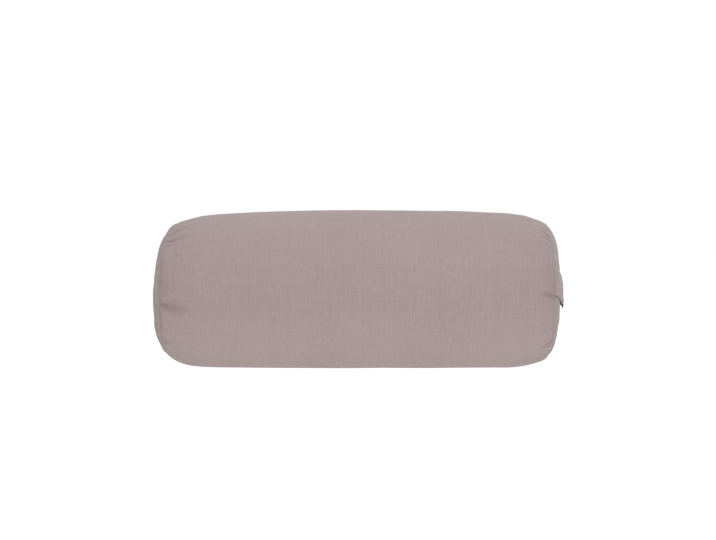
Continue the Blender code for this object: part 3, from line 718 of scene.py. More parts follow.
def face_outwards(made, outward):
    """Turns the faces over if they look against outward, a function of a face's centre."""
    mesh = made.data
    face = mesh.polygons[len(mesh.polygons) // 3]
    if face.normal.dot(Vector(outward(face.center))) < 0:
        mesh.flip_normals()


def from_axis(centre):
    return (0.0, centre.y, centre.z - AXIS_HEIGHT)


def smooth(made, sharp=50.0):
    made.data.shade_smooth()
    made.data.set_sharp_from_angle(angle=math.radians(sharp))


def thicken(made, thickness, offset=-1.0):
    solid = made.modifiers.new("Cloth thickness", "SOLIDIFY")
    solid.thickness = thickness
    solid.offset = offset
    solid.use_even_offset = True
    solid.use_quality_normals = True
    return made


def cloth(name, points, uv, outward, thickness, **grid):
    """A smooth piece of cloth from a grid of points on its outer face."""
    made = sheet_object(name, points, uv, **grid)
    face_outwards(made, outward)
    smooth(made)
    return thicken(made, thickness)


def point_value(made, name, values):
    held = made.data.attributes.new(name, "FLOAT", "POINT")
    held.data.foreach_set("value", np.asarray(values, np.float32).ravel())


def grid_normals(points, away):
    """Unit normals of a grid of points, turned towards away."""
    down, across = np.gradient(points, axis=0), np.gradient(points, axis=1)
    normal = np.cross(down, across)
    normal /= np.maximum(np.linalg.norm(normal, axis=-1, keepdims=True), 1e-12)
    return normal * np.sign((normal * away).sum(-1, keepdims=True))


def surface_tree(made):
    """The piece's own faces, without its modifiers, for finding places on it."""
    mesh = made.data
    return BVHTree.FromPolygons([v.co for v in mesh.vertices], [tuple(p.vertices) for p in mesh.polygons])


def settle_on(tree, points, lift):
    """The places on a surface nearest to points, raised by lift, and the surface's normals there."""
    places, normals = [], []
    for point in points:
        place, normal, _, _ = tree.find_nearest(Vector(point))
        places.append(place + normal * lift)
        normals.append(normal)
    return np.array(places), np.array(normals)


def keep_inside(made, tree, clearance):
    """Moves a piece's points in from a surface that they come too near to or pass through."""
    for vertex in made.data.vertices:
        place, normal, _, _ = tree.find_nearest(vertex.co)
        room = (place - vertex.co).dot(normal)
        if room < clearance:
            vertex.co -= normal * (clearance - room)


# Node trees

class Wire:
    """A number, vector or colour that flows out of a node, for use in plain expressions."""

    def __init__(self, graph, socket):
        self.graph = graph
        self.socket = socket

    def math(self, operation, *others):
        inputs = dict(enumerate((self, *others)))
        return self.graph.node("ShaderNodeMath", {"operation": operation}, inputs)

    def flipped(self, operation, first):
        return self.graph.node("ShaderNodeMath", {"operation": operation}, {0: first, 1: self})

    def __add__(self, other):
        return self.math("ADD", other)

    def __sub__(self, other):
        return self.math("SUBTRACT", other)

    def __mul__(self, other):
        return self.math("MULTIPLY", other)

    def __truediv__(self, other):
        return self.math("DIVIDE", other)

    def __pow__(self, other):
        return self.math("POWER", other)

    def __rsub__(self, other):
        return self.flipped("SUBTRACT", other)

    def __rtruediv__(self, other):
        return self.flipped("DIVIDE", other)

    __radd__ = __add__
    __rmul__ = __mul__

    def floor(self):
        return self.math("FLOOR")

    def fraction(self):
        return self.math("FRACT")

    def size(self):
        return self.math("ABSOLUTE")


class Graph:
    """Adds nodes to a tree."""

    def __init__(self, tree):
        self.tree = tree

    def node(self, kind, chosen=None, inputs=None, output=0):
        """A node of a kind, with its settings and then its inputs, as the wire out of one of its outputs."""
        made = self.tree.nodes.new(kind)
        for name, value in (chosen or {}).items():
            setattr(made, name, value)
        for key, value in (inputs or {}).items():
            if isinstance(value, Wire):
                self.tree.links.new(value.socket, made.inputs[key])
            else:
                made.inputs[key].default_value = value
        return Wire(self, made.outputs[output])

    def parts(self, vector):
        """The three numbers of a vector."""
        return [self.node("ShaderNodeSeparateXYZ", None, {0: vector}, k) for k in range(3)]

    def vector(self, x, y, z=0.0):
        return self.node("ShaderNodeCombineXYZ", None, {0: x, 1: y, 2: z})

    def stretched(self, vector, factors):
        return self.node("ShaderNodeVectorMath", {"operation": "MULTIPLY"}, {0: vector, 1: factors})

    def noise(self, vector, scale=1.0, detail=2.0, roughness=0.5):
        inputs = {"Vector": vector, "Scale": scale, "Detail": detail, "Roughness": roughness}
        return self.node("ShaderNodeTexNoise", {"noise_dimensions": "3D"}, inputs)

    def yarn_tone(self, index, row):
        """A number for each yarn, the same along the whole of it."""
        inputs = {"Vector": self.vector(index, row)}
        return self.node("ShaderNodeTexWhiteNoise", {"noise_dimensions": "2D"}, inputs)

    def mixed(self, factor, first, second):
        inputs = {0: factor, 6: (*first, 1.0) if isinstance(first, tuple) else first,
                  7: (*second, 1.0) if isinstance(second, tuple) else second}
        return self.node("ShaderNodeMix", {"data_type": "RGBA"}, inputs, 2)

    def close(self, kind, wire):
        """Ends the tree in an output node."""
        self.tree.links.new(wire.socket, self.tree.nodes.new(kind).inputs[0])


class Finish(Graph):
    """A material with one Principled shader."""

    def __init__(self, name, **uniform):
        self.material = bpy.data.materials.new(name)
        self.material.use_nodes = True
        super().__init__(self.material.node_tree)
        self.shader = self.tree.nodes["Principled BSDF"]
        for key, value in uniform.items():
            self.shader.inputs[key.replace("_", " ")].default_value = value

    def cloth_place(self):
        """Place on the flat cloth, along it and across it, in metres."""
        return self.parts(self.node("ShaderNodeUVMap", {"uv_map": CLOTH_MAP}))[:2]

    def place(self):
        return self.node("ShaderNodeTexCoord", output=3)

    def feed(self, key, wire):
        self.tree.links.new(wire.socket, self.shader.inputs[key])

    def bump(self, height, distance=MM, strength=1.0):
        inputs = {"Height": height, "Distance": distance, "Strength": strength}
        self.feed("Normal", self.node("ShaderNodeBump", None, inputs))


def tinted(colour, factor):
    return tuple(min(1.0, c * factor) for c in colour)


def woven(along, across):
    """Plain weave: the height of its yarns from 0 to 1, and which of the two yarns lies on top."""
    a, b = along.fraction(), across.fraction()
    warp, weft = 4.0 * a * (1.0 - a), 4.0 * b * (1.0 - b)
    over = ((along.floor() + across.floor()) / 2.0).fraction() * 2.0
    warp_height = warp * (0.55 + 0.45 * weft)
    weft_height = weft * (0.55 + 0.45 * warp)
    return warp_height * (1.0 - over) + weft_height * over, over


def canvas_finish(name, colour, yarn, slub=1.0, yarn_height=0.22, sheen=0.4):
    """Plain-woven cotton canvas with uneven yarns."""
    finish = Finish(name, Sheen_Weight=sheen, Sheen_Roughness=0.4, Specular_IOR_Level=0.2)
    u, v = finish.cloth_place()
    height, over = woven(u / yarn, v / yarn)
    thick_v = finish.noise(finish.vector(u * 85.0, v * 280.0), detail=2.0, roughness=0.6)
    thick_u = finish.noise(finish.vector(u * 300.0, v * 48.0, 3.0), detail=2.0, roughness=0.6)
    cloud = finish.noise(finish.vector(u * 9.0, v * 9.0, 7.0), detail=3.0)
    warp_tone = finish.yarn_tone((u / yarn).floor(), 1.0)
    weft_tone = finish.yarn_tone((v / yarn).floor(), 2.0)
    tone = warp_tone * (1.0 - over) + weft_tone * over
    shade = 0.5 + 0.34 * (height - 0.55) + 0.16 * (tone - 0.5)
    shade = shade + slub * (0.44 * (thick_v - 0.5) + 0.12 * (thick_u - 0.5)) + 0.24 * (cloud - 0.5)
    rib = (v / (yarn * 3.9)).fraction()
    patch = (finish.noise(finish.vector(u * 26.0, v * 44.0, 11.0)) - 0.48).math("MAXIMUM", 0.0)
    shade = shade + slub * (0.02 + 0.8 * patch) * (4.0 * rib * (1.0 - rib) - 0.67)
    # Painted shade: the canvas darkens where the point attribute says. The mix's dark end leans a little red,
    # as cloth in shade looks.
    seam = finish.node("ShaderNodeAttribute", {"attribute_name": PAINTED_SHADE}, output=2)
    shade = shade - 0.5 * seam
    low, high = tinted(colour, 0.72), tinted(colour, 1.28)
    finish.feed("Base Color", finish.mixed(shade, (low[0] * 1.04, *low[1:]), (high[0] / 1.02, *high[1:])))
    finish.feed("Roughness", 0.86 + 0.1 * (1.0 - height))
    finish.bump(height * yarn_height + 0.10 * slub * (thick_v + 0.6 * thick_u))
    return finish.material


def thread_finish(name, colour):
    """Twisted sewing thread."""
    finish = Finish(name, Sheen_Weight=0.25, Sheen_Roughness=0.4, Specular_IOR_Level=0.4)
    fibres = finish.noise(finish.place(), scale=2600.0, detail=3.0, roughness=0.6)
    tone = finish.noise(finish.place(), scale=140.0)
    shade = 0.5 + 0.5 * (fibres - 0.5) + 0.3 * (tone - 0.5)
    finish.feed("Base Color", finish.mixed(shade, tinted(colour, 0.72), tinted(colour, 1.25)))
    finish.feed("Roughness", 0.62 + 0.2 * fibres)
    finish.bump(fibres * 0.12)
    return finish.material


def tape_finish(name, colour):
    """Herringbone tape, its ribs leaning one way and then the other."""
    finish = Finish(name, Sheen_Weight=0.1, Specular_IOR_Level=0.35)
    u, v = finish.cloth_place()
    lean = ((v / (1.9 * MM)).fraction() - 0.5).size()
    rib = (u / (0.62 * MM) + lean * 3.0).fraction()
    height = 4.0 * rib * (1.0 - rib)
    tone = finish.noise(finish.vector(u * 60.0, v * 900.0), detail=2.0)
    shade = 0.42 + 0.3 * (height - 0.5) + 0.3 * (tone - 0.5)
    finish.feed("Base Color", finish.mixed(shade, tinted(colour, 0.7), tinted(colour, 1.3)))
    finish.feed("Roughness", 0.78 + 0.12 * tone)
    finish.bump(height * 0.13)
    return finish.material


def satin_finish(name, colour, pitch, roughness, shine=0.5):
    """Close-woven label cloth with fine ribs across it."""
    finish = Finish(name, Specular_IOR_Level=shine)
    u, v = finish.cloth_place()
    rib, step = (v / pitch).fraction(), (u / (pitch * 2.2) + (v / pitch).floor() * 0.4).fraction()
    height = 4.0 * rib * (1.0 - rib) * (0.7 + 1.2 * step * (1.0 - step))
    tone = finish.noise(finish.vector(u * 300.0, v * 1500.0), detail=2.0)
    shade = 0.45 + 0.3 * (height - 0.5) + 0.25 * (tone - 0.5)
    finish.feed("Base Color", finish.mixed(shade, tinted(colour, 0.6), tinted(colour, 1.45)))
    finish.feed("Roughness", roughness + 0.15 * tone)
    finish.bump(height * 0.08)
    return finish.material


def nylon_finish(name, colour):
    """Dyed nylon monofilament."""
    finish = Finish(name, Specular_IOR_Level=0.5)
    tone = finish.noise(finish.place(), scale=420.0, detail=3.0)
    finish.feed("Base Color", finish.mixed(tone, tinted(colour, 0.78), tinted(colour, 1.2)))
    finish.feed("Roughness", 0.32 + 0.2 * tone)
    finish.bump(finish.noise(finish.place(), scale=3000.0) * 0.03)
    return finish.material


def metal_finish(name, colour):
    """Plated zinc, brighter and darker in soft clouds, and finely scratched."""
    finish = Finish(name, Metallic=1.0)
    cloud = finish.noise(finish.place(), scale=180.0, detail=4.0, roughness=0.6)
    scratch = finish.noise(finish.stretched(finish.place(), (300.0, 5200.0, 2400.0)), detail=2.0)
    shade = 0.5 + 0.5 * (cloud - 0.5) + 0.25 * (scratch - 0.5)
    finish.feed("Base Color", finish.mixed(shade, tinted(colour, 0.45), tinted(colour, 1.15)))
    finish.feed("Roughness", 0.24 + 0.24 * cloud + 0.10 * scratch)
    finish.bump(scratch * 0.02 + cloud * 0.03)
    return finish.material


def fibre_finish(name, colour):
    """Loose plant fibre, matted."""
    finish = Finish(name, Roughness=1.0, Sheen_Weight=0.4, Specular_IOR_Level=0.1)
    place = finish.place()
    tufts = finish.noise(place, scale=55.0, detail=5.0, roughness=0.65)
    strands = finish.noise(finish.stretched(place, (120.0, 900.0, 900.0)), detail=4.0)
    shade = 0.5 + 0.7 * (tufts - 0.5) + 0.4 * (strands - 0.5)
    finish.feed("Base Color", finish.mixed(shade, tinted(colour, 0.8), tinted(colour, 1.12)))
    finish.bump(tufts * 2.5 + strands * 0.6)
    return finish.material


def new_tree(name, inputs):
    """A Geometry Nodes tree with a geometry in and out and named inputs, as its graph and the input wires."""
    tree = bpy.data.node_groups.new(name, "GeometryNodeTree")
    tree.interface.new_socket("Geometry", in_out="INPUT", socket_type="NodeSocketGeometry")
    for label, kind in inputs:
        tree.interface.new_socket(label, in_out="INPUT", socket_type=f"NodeSocket{kind}")
    tree.interface.new_socket("Geometry", in_out="OUTPUT", socket_type="NodeSocketGeometry")
    graph = Graph(tree)
    group = tree.nodes.new("NodeGroupInput")
    wires = {socket.name: Wire(graph, socket) for socket in group.outputs if socket.name}
    return graph, wires


def close_tree(graph, geometry, material):
    """Ends a tree in Realize Instances, smooth faces and Set Material."""
    real = graph.node("GeometryNodeRealizeInstances", None, {"Geometry": geometry})
    soft = graph.node("GeometryNodeSetShadeSmooth", None, {"Geometry": real})
    done = graph.node("GeometryNodeSetMaterial", None, {"Geometry": soft, "Material": material})
    graph.close("NodeGroupOutput", done)
    return graph.tree


def named_vector(graph, name):
    return graph.node("GeometryNodeInputNamedAttribute", {"data_type": "FLOAT_VECTOR"}, {"Name": name})


def stitch_tree():
    """A row of stitches along each line of the mesh. lift holds the cloth's normal."""
    graph, wires = new_tree("Running stitch", [
        ("Stitch length", "Float"), ("Gap", "Float"), ("Thread radius", "Float"),
        ("Seed", "Int"), ("Material", "Material")])
    line = graph.node("GeometryNodeMeshToCurve", None, {"Mesh": wires["Geometry"]})
    step = wires["Stitch length"] + wires["Gap"]
    line = graph.node("GeometryNodeResampleCurve", {"mode": "LENGTH"}, {"Curve": line, "Length": step})
    tangent = graph.node("GeometryNodeInputTangent")
    turn = graph.node(
        "FunctionNodeAxesToRotation", {"primary_axis": "X", "secondary_axis": "Z"},
        {"Primary Axis": tangent, "Secondary Axis": named_vector(graph, "lift")})
    bead = graph.node("GeometryNodeMeshUVSphere", None, {"Segments": 8, "Rings": 6, "Radius": 1.0})
    size = graph.vector(wires["Stitch length"] / 2.0, wires["Thread radius"], wires["Thread radius"])
    bead = graph.node("GeometryNodeTransform", None, {"Geometry": bead, "Scale": size})
    vary = graph.node(
        "FunctionNodeRandomValue", {"data_type": "FLOAT"}, {2: 0.92, 3: 1.06, "Seed": wires["Seed"]}, 1)
    row = graph.node("GeometryNodeInstanceOnPoints", None, {
        "Points": line, "Instance": bead, "Rotation": turn, "Scale": graph.vector(vary, vary, 1.0)})
    return close_tree(graph, row, wires["Material"])


def wound_tree():
    """Thread wound round each line of the mesh. lift and across hold the two ways that its turns reach."""
    graph, wires = new_tree("Wound thread", [
        ("Pitch", "Float"), ("Reach across", "Float"), ("Reach up", "Float"), ("Thread radius", "Float"),
        ("Phase", "Float"), ("Steps per turn", "Float"), ("Sides", "Int"), ("Material", "Material")])
    line = graph.node("GeometryNodeMeshToCurve", None, {"Mesh": wires["Geometry"]})
    step = wires["Pitch"] / wires["Steps per turn"]
    line = graph.node("GeometryNodeResampleCurve", {"mode": "LENGTH"}, {"Curve": line, "Length": step})
    length = graph.node("GeometryNodeSplineParameter", output=1)
    turn = length / wires["Pitch"] * TURN + wires["Phase"]
    moves = []
    for name, share in (("across", turn.math("COSINE") * wires["Reach across"]),
                        ("lift", turn.math("SINE") * wires["Reach up"])):
        moves.append(graph.node("ShaderNodeVectorMath", {"operation": "SCALE"},
                                {0: named_vector(graph, name), "Scale": share}))
    offset = graph.node("ShaderNodeVectorMath", {"operation": "ADD"}, {0: moves[0], 1: moves[1]})
    line = graph.node("GeometryNodeSetPosition", None, {"Geometry": line, "Offset": offset})
    round_wire = graph.node("GeometryNodeCurvePrimitiveCircle", {"mode": "RADIUS"}, {
        "Resolution": wires["Sides"], "Radius": wires["Thread radius"]})
    tube = graph.node("GeometryNodeCurveToMesh", None, {
        "Curve": line, "Profile Curve": round_wire, "Fill Caps": True})
    return close_tree(graph, tube, wires["Material"])


def grown(name, tree, lines, inputs):
    """Runs a tree on lines and returns the plain mesh object that it makes.

    lines is a list of (points, lift, across, closed).
    """
    points, edges, lifts, sideways = [], [], [], []
    for line, lift, across, closed in lines:
        first = len(points)
        points += [tuple(p) for p in line]
        edges += [(first + k, first + k + 1) for k in range(len(line) - 1)]
        if closed:
            edges.append((first + len(line) - 1, first))
        lifts += [tuple(p) for p in lift]
        sideways += [tuple(p) for p in across]
    mesh = bpy.data.meshes.new(f"{name}_path")
    mesh.from_pydata(points, edges, [])
    for label, values in (("lift", lifts), ("across", sideways)):
        held = mesh.attributes.new(label, "FLOAT_VECTOR", "POINT")
        held.data.foreach_set("vector", np.array(values, np.float32).ravel())
    path = placed(f"{name}_path", mesh)
    growth = path.modifiers.new("Growth", "NODES")
    growth.node_group = tree
    for item in tree.interface.items_tree:
        if item.item_type == "SOCKET" and item.in_out == "INPUT" and item.name in inputs:
            growth[item.identifier] = inputs[item.name]
    bpy.context.view_layer.update()
    evaluated = path.evaluated_get(bpy.context.evaluated_depsgraph_get())
    grown_mesh = bpy.data.meshes.new_from_object(evaluated)
    grown_mesh.name = name
    bpy.data.objects.remove(path, do_unlink=True)
    return placed(name, grown_mesh)


def tree_named(name, build):
    return bpy.data.node_groups.get(name) or build()


def material_named(name, build, *values):
    return bpy.data.materials.get(name) or build(name, *values)


def canvas():
    chosen = settings().cover
    return material_named("dusty_rose_canvas", canvas_finish, tuple(chosen.colour), chosen.yarn)


def sewing_thread():
    return material_named("sewing_thread", thread_finish, tuple(settings().strap.thread_colour))


def give(made, material, body="bolster", stands_for=()):
    """Gives a piece its material, and says what it rides on and stands for."""
    made.data.materials.clear()
    made.data.materials.append(material)
    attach(made, body)
    if stands_for:
        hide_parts(*stands_for)
    return made


# The cover

def fine_stations():
    """Stations along the tube, closest at the seams and at the slot's ends."""
    last = SEAM_REACH / MM
    stretches = ((0, 196, 23), (196, 210, 13), (210, 240, 8), (240, 268, 14), (268, last, 18))
    half = [0.0]
    for start, end, count in stretches:
        half += list(np.linspace(start, end, count + 1)[1:])
    half = np.array(half) / last
    return np.concatenate([-half[:0:-1], half])


def fine_columns():
    """Shares of the way round from one edge of the slot to the other, closest at the edges."""
    around = TURN * ZIP_RADIUS - 2 * SLOT_HALF_WIDTH
    near = np.array([0.0, 0.5, 1.1, 1.9, 3.0, 4.3, 5.8, 7.6, 9.8, 12.4]) * MM / around
    first, last = (math.radians(angle) / TURN for angle in (62.0, 252.0))  # of the near side, from the zip on
    inside = np.concatenate([np.linspace(near[-1], first, 43), np.linspace(first, last, 160)[1:],
                             np.linspace(last, 1.0 - near[-1], 81)[1:]])
    return np.concatenate([near, inside[1:-1], 1.0 - near[::-1]])


def slot_edge(x):
    """Half the gap between the tube panel's long edges."""
    return GAP / 2 + (SLOT_HALF_WIDTH - GAP / 2) * fade(np.abs(x), *SLOT_END)


def joined(distance):
    """0.1 on a seam's stitch line, where both panels meet, and 1 away from it."""
    return 1.0 - 0.9 * np.exp(-distance / (1.8 * MM))


def seam_slant(distance, angle, side, chosen):
    """How far a seam's groove draws the cloth in, at a distance from the seam."""
    rng = np.random.default_rng(chosen.seed + 40 + side)
    depth = chosen.groove * (1.0 + 0.22 * ripples(angle, GROOVE_WAVES, rng))
    depth = depth * (1.0 - 0.8 * np.sin(angle) ** 6)
    corner = PLAIN_CORNER_DRAWN * np.maximum(-np.sin(angle), 0.0) ** 4 * (side < 0)
    return depth * np.exp(-distance / chosen.groove_width) + corner * np.exp(-distance / (6 * MM))


def painted_seam_shade(distance, angle, side, chosen):
    """Painted shade in a seam's groove: how much darker the canvas is drawn beside a seam, uneven along it,
    stronger towards the top and weaker towards the bottom.
    """
    rng = np.random.default_rng(chosen.seed + 60 + side)
    uneven = np.clip(0.75 + 0.55 * ripples(angle, PAINTED_SHADE_WAVES, rng), 0.15, 1.4)
    uneven = uneven + 0.7 * np.maximum(np.sin(angle), 0.0) ** 3
    uneven = uneven * (1.0 - 0.8 * np.maximum(-np.sin(angle), 0.0) ** 2)
    return 0.42 * uneven * np.exp(-distance / (1.9 * MM))


def at_both_seams(measure, distance, station, angle, chosen):
    """A seam's measure over the whole tube, each half taking it from its own end's seam."""
    return np.where(station < 0, measure(distance, angle, -1, chosen), measure(distance, angle, 1, chosen))


def build_tube(chosen, moved):
    """The tube panel, its ends turned in as allowances and its long edges folded at the zip."""
    stations, shares = fine_stations(), fine_columns()
    x = stations[:, None] * SEAM_REACH
    edge = slot_edge(x) / ZIP_RADIUS
    angle = ZIP_ANGLE + edge + shares[None, :] * (TURN - 2 * edge)
    station = np.broadcast_to(stations[:, None], angle.shape)
    distance = (1.0 - np.abs(station)) * seam_reach(station, angle)
    slant = at_both_seams(seam_slant, distance, station, angle, chosen)
    points = tube_points(station, angle, slant=slant)

    rows = np.interp(stations, COARSE_STATIONS, np.arange(len(COARSE_STATIONS)))
    settled = np.stack([spread_movement(moved, rows[k:k + 1], angle[k])[0] for k in range(len(rows))])
    loose = fade(np.exp(-distance / (6 * MM)), 0.0, 1.0) * (1.0 - zip_hold(points[..., 0], angle))
    loose = loose * (1.0 - fade(points[..., 2], 6 * MM, 40 * MM))
    points = points + settled * loose[..., None]
    away = points - np.stack([points[..., 0], np.zeros_like(angle), np.full_like(angle, AXIS_HEIGHT)], -1)
    normal = grid_normals(points, away)
    creased = crease_relief(points[..., 0], angle, chosen)
    height = (tube_relief(points[..., 0], angle, chosen) + creased) * joined(distance)
    from_edge = shares * TURN * ZIP_RADIUS
    fold = 0.3 * MM * np.exp(-((from_edge / (0.9 * MM)) ** 2))
    valley = 0.9 * MM * np.exp(-from_edge / (1.6 * MM))
    height = height - np.where(np.abs(x) > SLOT_END[1], valley + valley[::-1], fold + fold[::-1])
    points = points + normal * height[..., None]
    points[..., 2] = np.maximum(points[..., 2], 0.0)

    first = turned_in(points[0], -1, angle[0], TUCKS)
    last = turned_in(points[-1], 1, angle[-1], TUCKS)
    points = np.concatenate([first[::-1], points, last])
    flat_x = with_allowances((stations + 1.0) * SEAM_REACH + 10 * MM, TUCKS)
    around = np.concatenate([angle[:1]] * len(TUCKS) + [angle] + [angle[-1:]] * len(TUCKS))
    uv = flat_map((around - ZIP_ANGLE) * TUBE_CUT[1] / TURN, flat_x[:, None])

    made = cloth("canvas_tube", points, uv, from_axis, CANVAS)
    # Painted shade: beside both seams, in the creases and towards both ends of the tube
    shade = at_both_seams(painted_seam_shade, distance, station, angle, chosen)
    shade = shade + np.clip(-creased / (2.8 * MM), 0.0, 0.6) + 0.22 * np.exp(-distance / (22 * MM))
    # Painted shade: the turned-in allowances are darkened fully
    dark = np.ones((len(TUCKS), len(shares)))
    point_value(made, PAINTED_SHADE, np.concatenate([dark, shade, dark]))
    return give(made, canvas(), stands_for=["cover_body_panel"])


def off_strap(points):
    """Height over the strap's middle line, and place along the strap, of points on the end panel."""
    along = points[..., 1] / (STRAP_SPAN * (RIM_HEIGHT + STRAP_END_FULLER + SIDE_SPREAD))
    return points[..., 2] - STRAP_SEAM_HEIGHT + STRAP_DROOP * (1.0 - along * along), along


def under_strap(side, points):
    """1 where the strap lies over the end panel, 0 away from it."""
    off = np.abs(off_strap(points)[0])
    return fade(off, STRAP_WIDTH / 2, STRAP_WIDTH / 2 + 12 * MM) if side > 0 else np.zeros(off.shape)


def painted_strap_shadow(side, points):
    """Painted shadow on the end panel: a dark line along the strap's lower edge, towards its sewn ends."""
    off, along = off_strap(points)
    line = np.exp(-(((off + STRAP_WIDTH / 2) / (1.5 * MM)) ** 2))
    return 1.5 * line * (1.0 - fade(np.abs(along), 0.4, 0.75)) if side > 0 else np.zeros(off.shape)


def build_end(chosen, side, moved):
    """A round end panel with its turned-in allowance."""
    rings = np.concatenate(
        [np.linspace(0.04, 0.7, 12), np.linspace(0.7, 0.9, 9)[1:], np.linspace(0.9, 1.0, 11)[1:]])
    angle = ZIP_ANGLE + TURN * np.arange(264) / 264
    ring, turn = np.meshgrid(rings, angle, indexing="ij")
    distance = (1.0 - ring) * RIM_HEIGHT
    drawn = seam_slant(0.0, turn, side, chosen)
    plain = end_points(side, ring, turn, clear=GAP)
    share = (seam_slant(distance, turn, side, chosen) / drawn)[..., None]
    points = plain + (end_points(side, ring, turn, slant=drawn, clear=GAP) - plain) * share
    rows = np.interp(rings, np.concatenate([COARSE_RINGS, [1.0]]), np.arange(len(COARSE_RINGS) + 1))
    moved = np.concatenate([moved, np.zeros_like(moved[:1])])
    free = 1.0 - under_strap(side, points)
    points = points + spread_movement(moved, rows, angle) * free[..., None]
    for at_side, middle, half, out in END_SWELLS:
        if at_side == side:
            near = np.exp(-(((points[..., 2] - middle * MM) / (half * MM)) ** 4)) * (1.0 - ring**6)
            points[..., 0] += side * out * MM * near
    outward = np.broadcast_to(np.array([float(side), 0.0, 0.0]), points.shape)
    relief = end_relief(side, ring, turn, chosen) * joined(distance)
    relief = np.where(relief > 0, relief * free, relief)
    points = points + grid_normals(points, outward) * relief[..., None]
    points[..., 2] = np.maximum(points[..., 2], 0.0)

    points = np.concatenate([points, turned_in(points[-1], side, angle, TUCKS)])
    uv = disc_map(RIM_HEIGHT * DISC_FULLNESS, rings, TUCKS, angle, DISC_CUT / 2)
    end = "left" if side < 0 else "right"
    middle = end_points(side, 0.0, 0.0).reshape(3)
    middle[0] = points[0, :, 0].mean() + side * 0.02 * MM
    made = cloth(
        f"canvas_end_{end}", points, uv, lambda centre: (side, 0.0, 0.0), CANVAS, wrap=True, pole=middle)
    # Painted shade beside the seam, and painted shadow below the strap's lower edge
    shade = painted_seam_shade(distance, turn, side, chosen) + painted_strap_shadow(side, points[: len(rings)])
    # Painted shade: the turned-in allowances are darkened fully; the middle point not at all
    shade = np.concatenate([shade.ravel(), np.ones(len(TUCKS) * len(angle)), [0.0]])
    point_value(made, PAINTED_SHADE, shade)
    return give(made, canvas(), stands_for=[f"cover_end_panel_{end}"])


class BOLSTER_OT_cover(bpy.types.Operator):
    """Builds the canvas tube and both round end panels, settled over the filling"""

    bl_idname = "bolster.cover"
    bl_label = "Canvas cover"

    def execute(self, context):
        chosen = settings().cover
        tube_moved, left_moved, right_moved = settled_cover(chosen)
        tube = build_tube(chosen, tube_moved)
        left = build_end(chosen, -1, left_moved)
        right = build_end(chosen, 1, right_moved)
        return {"FINISHED"}


# The strap and its tab

def rolled_edge(across):
    """1 over the strap's breadth, falling to 0 at its edges, where the cloth turns over."""
    beyond = ((np.abs(across) - ROLLED_FROM) / (1.0 - ROLLED_FROM)).clip(0.0, 1.0)
    return np.sqrt(np.clip(1.0 - beyond**2, 0.0, 1.0))


def strap_outer(across, chosen):
    """Height of the strap's outer face over its inner one."""
    puffed = np.clip(1.0 - (np.abs(across) / 0.8) ** 4, 0.0, 1.0)
    row = np.exp(-(((np.abs(across) - STITCH_ROW) / 0.05) ** 2))
    height = STRAP_THICKNESS + chosen.puff * puffed - STITCH_ROW_SINK * row
    return height * (0.5 + 0.5 * rolled_edge(across))


def strap_inner(across):
    return STRAP_THICKNESS * 0.5 * (1.0 - rolled_edge(across))


def strap_place(along, across, out):
    """A point of the strap, out from its inner face. Past each sewn end it dips into the seam."""
    place = strap_face(along, across)
    rim = 1.0 - np.abs(along) * STRAP_SPAN
    depth, reach = SEAM_DIP
    dip = depth * np.exp(-np.clip(rim, 0.0, None) * RIM_HEIGHT / reach)
    cupped = STRAP_CUP * np.clip((across - 0.2) / 0.8, 0.0, None) ** 2
    cupped = cupped * np.clip(1.0 - along * along, 0.0, None)
    place[..., 0] += out - dip - cupped
    return place


class BOLSTER_OT_strap(bpy.types.Operator):
    """Builds the carrying strap across the end, folded canvas with rolled edges"""

    bl_idname = "bolster.strap"
    bl_label = "Carrying strap"

    def execute(self, context):
        chosen = settings().strap
        inside = 0.998 * np.sin(np.linspace(-math.pi / 2, math.pi / 2, 71))
        along = np.concatenate([[-1.012, -1.006], inside, [1.006, 1.012]])
        face = np.array([-1.0, -0.985, -0.955, -0.92, -0.87, -0.82, -0.77, -0.6, -0.3, 0.0,
                         0.3, 0.6, 0.77, 0.82, 0.87, 0.92, 0.955, 0.985, 1.0])
        back = face[::-1][1:-1]
        across = np.concatenate([face, back])
        out = np.concatenate([strap_outer(face, chosen), strap_inner(back)])
        points = strap_place(along[:, None], across[None, :], out[None, :])
        flat_along = along * STRAP_HALF_LENGTH + STRAP_MIDDLE[0]
        uv = flat_map(flat_along[:, None], across * STRAP_WIDTH / 2 + STRAP_MIDDLE[1])
        made = sheet_object("canvas_strap", points, uv, wrap=True)
        # Painted shade: the strap's lower edge is darkened towards its sewn ends
        painted_low_edge_shade = np.exp(-(((across + 1.0) / 0.07) ** 2))
        point_value(made, PAINTED_SHADE, 1.4 * painted_low_edge_shade * (1.0 - fade(np.abs(along), 0.5, 0.9))[:, None])
        closed_up(made.data)
        smooth(made, 60.0)
        give(made, canvas(), stands_for=["handle_strap"])
        return {"FINISHED"}


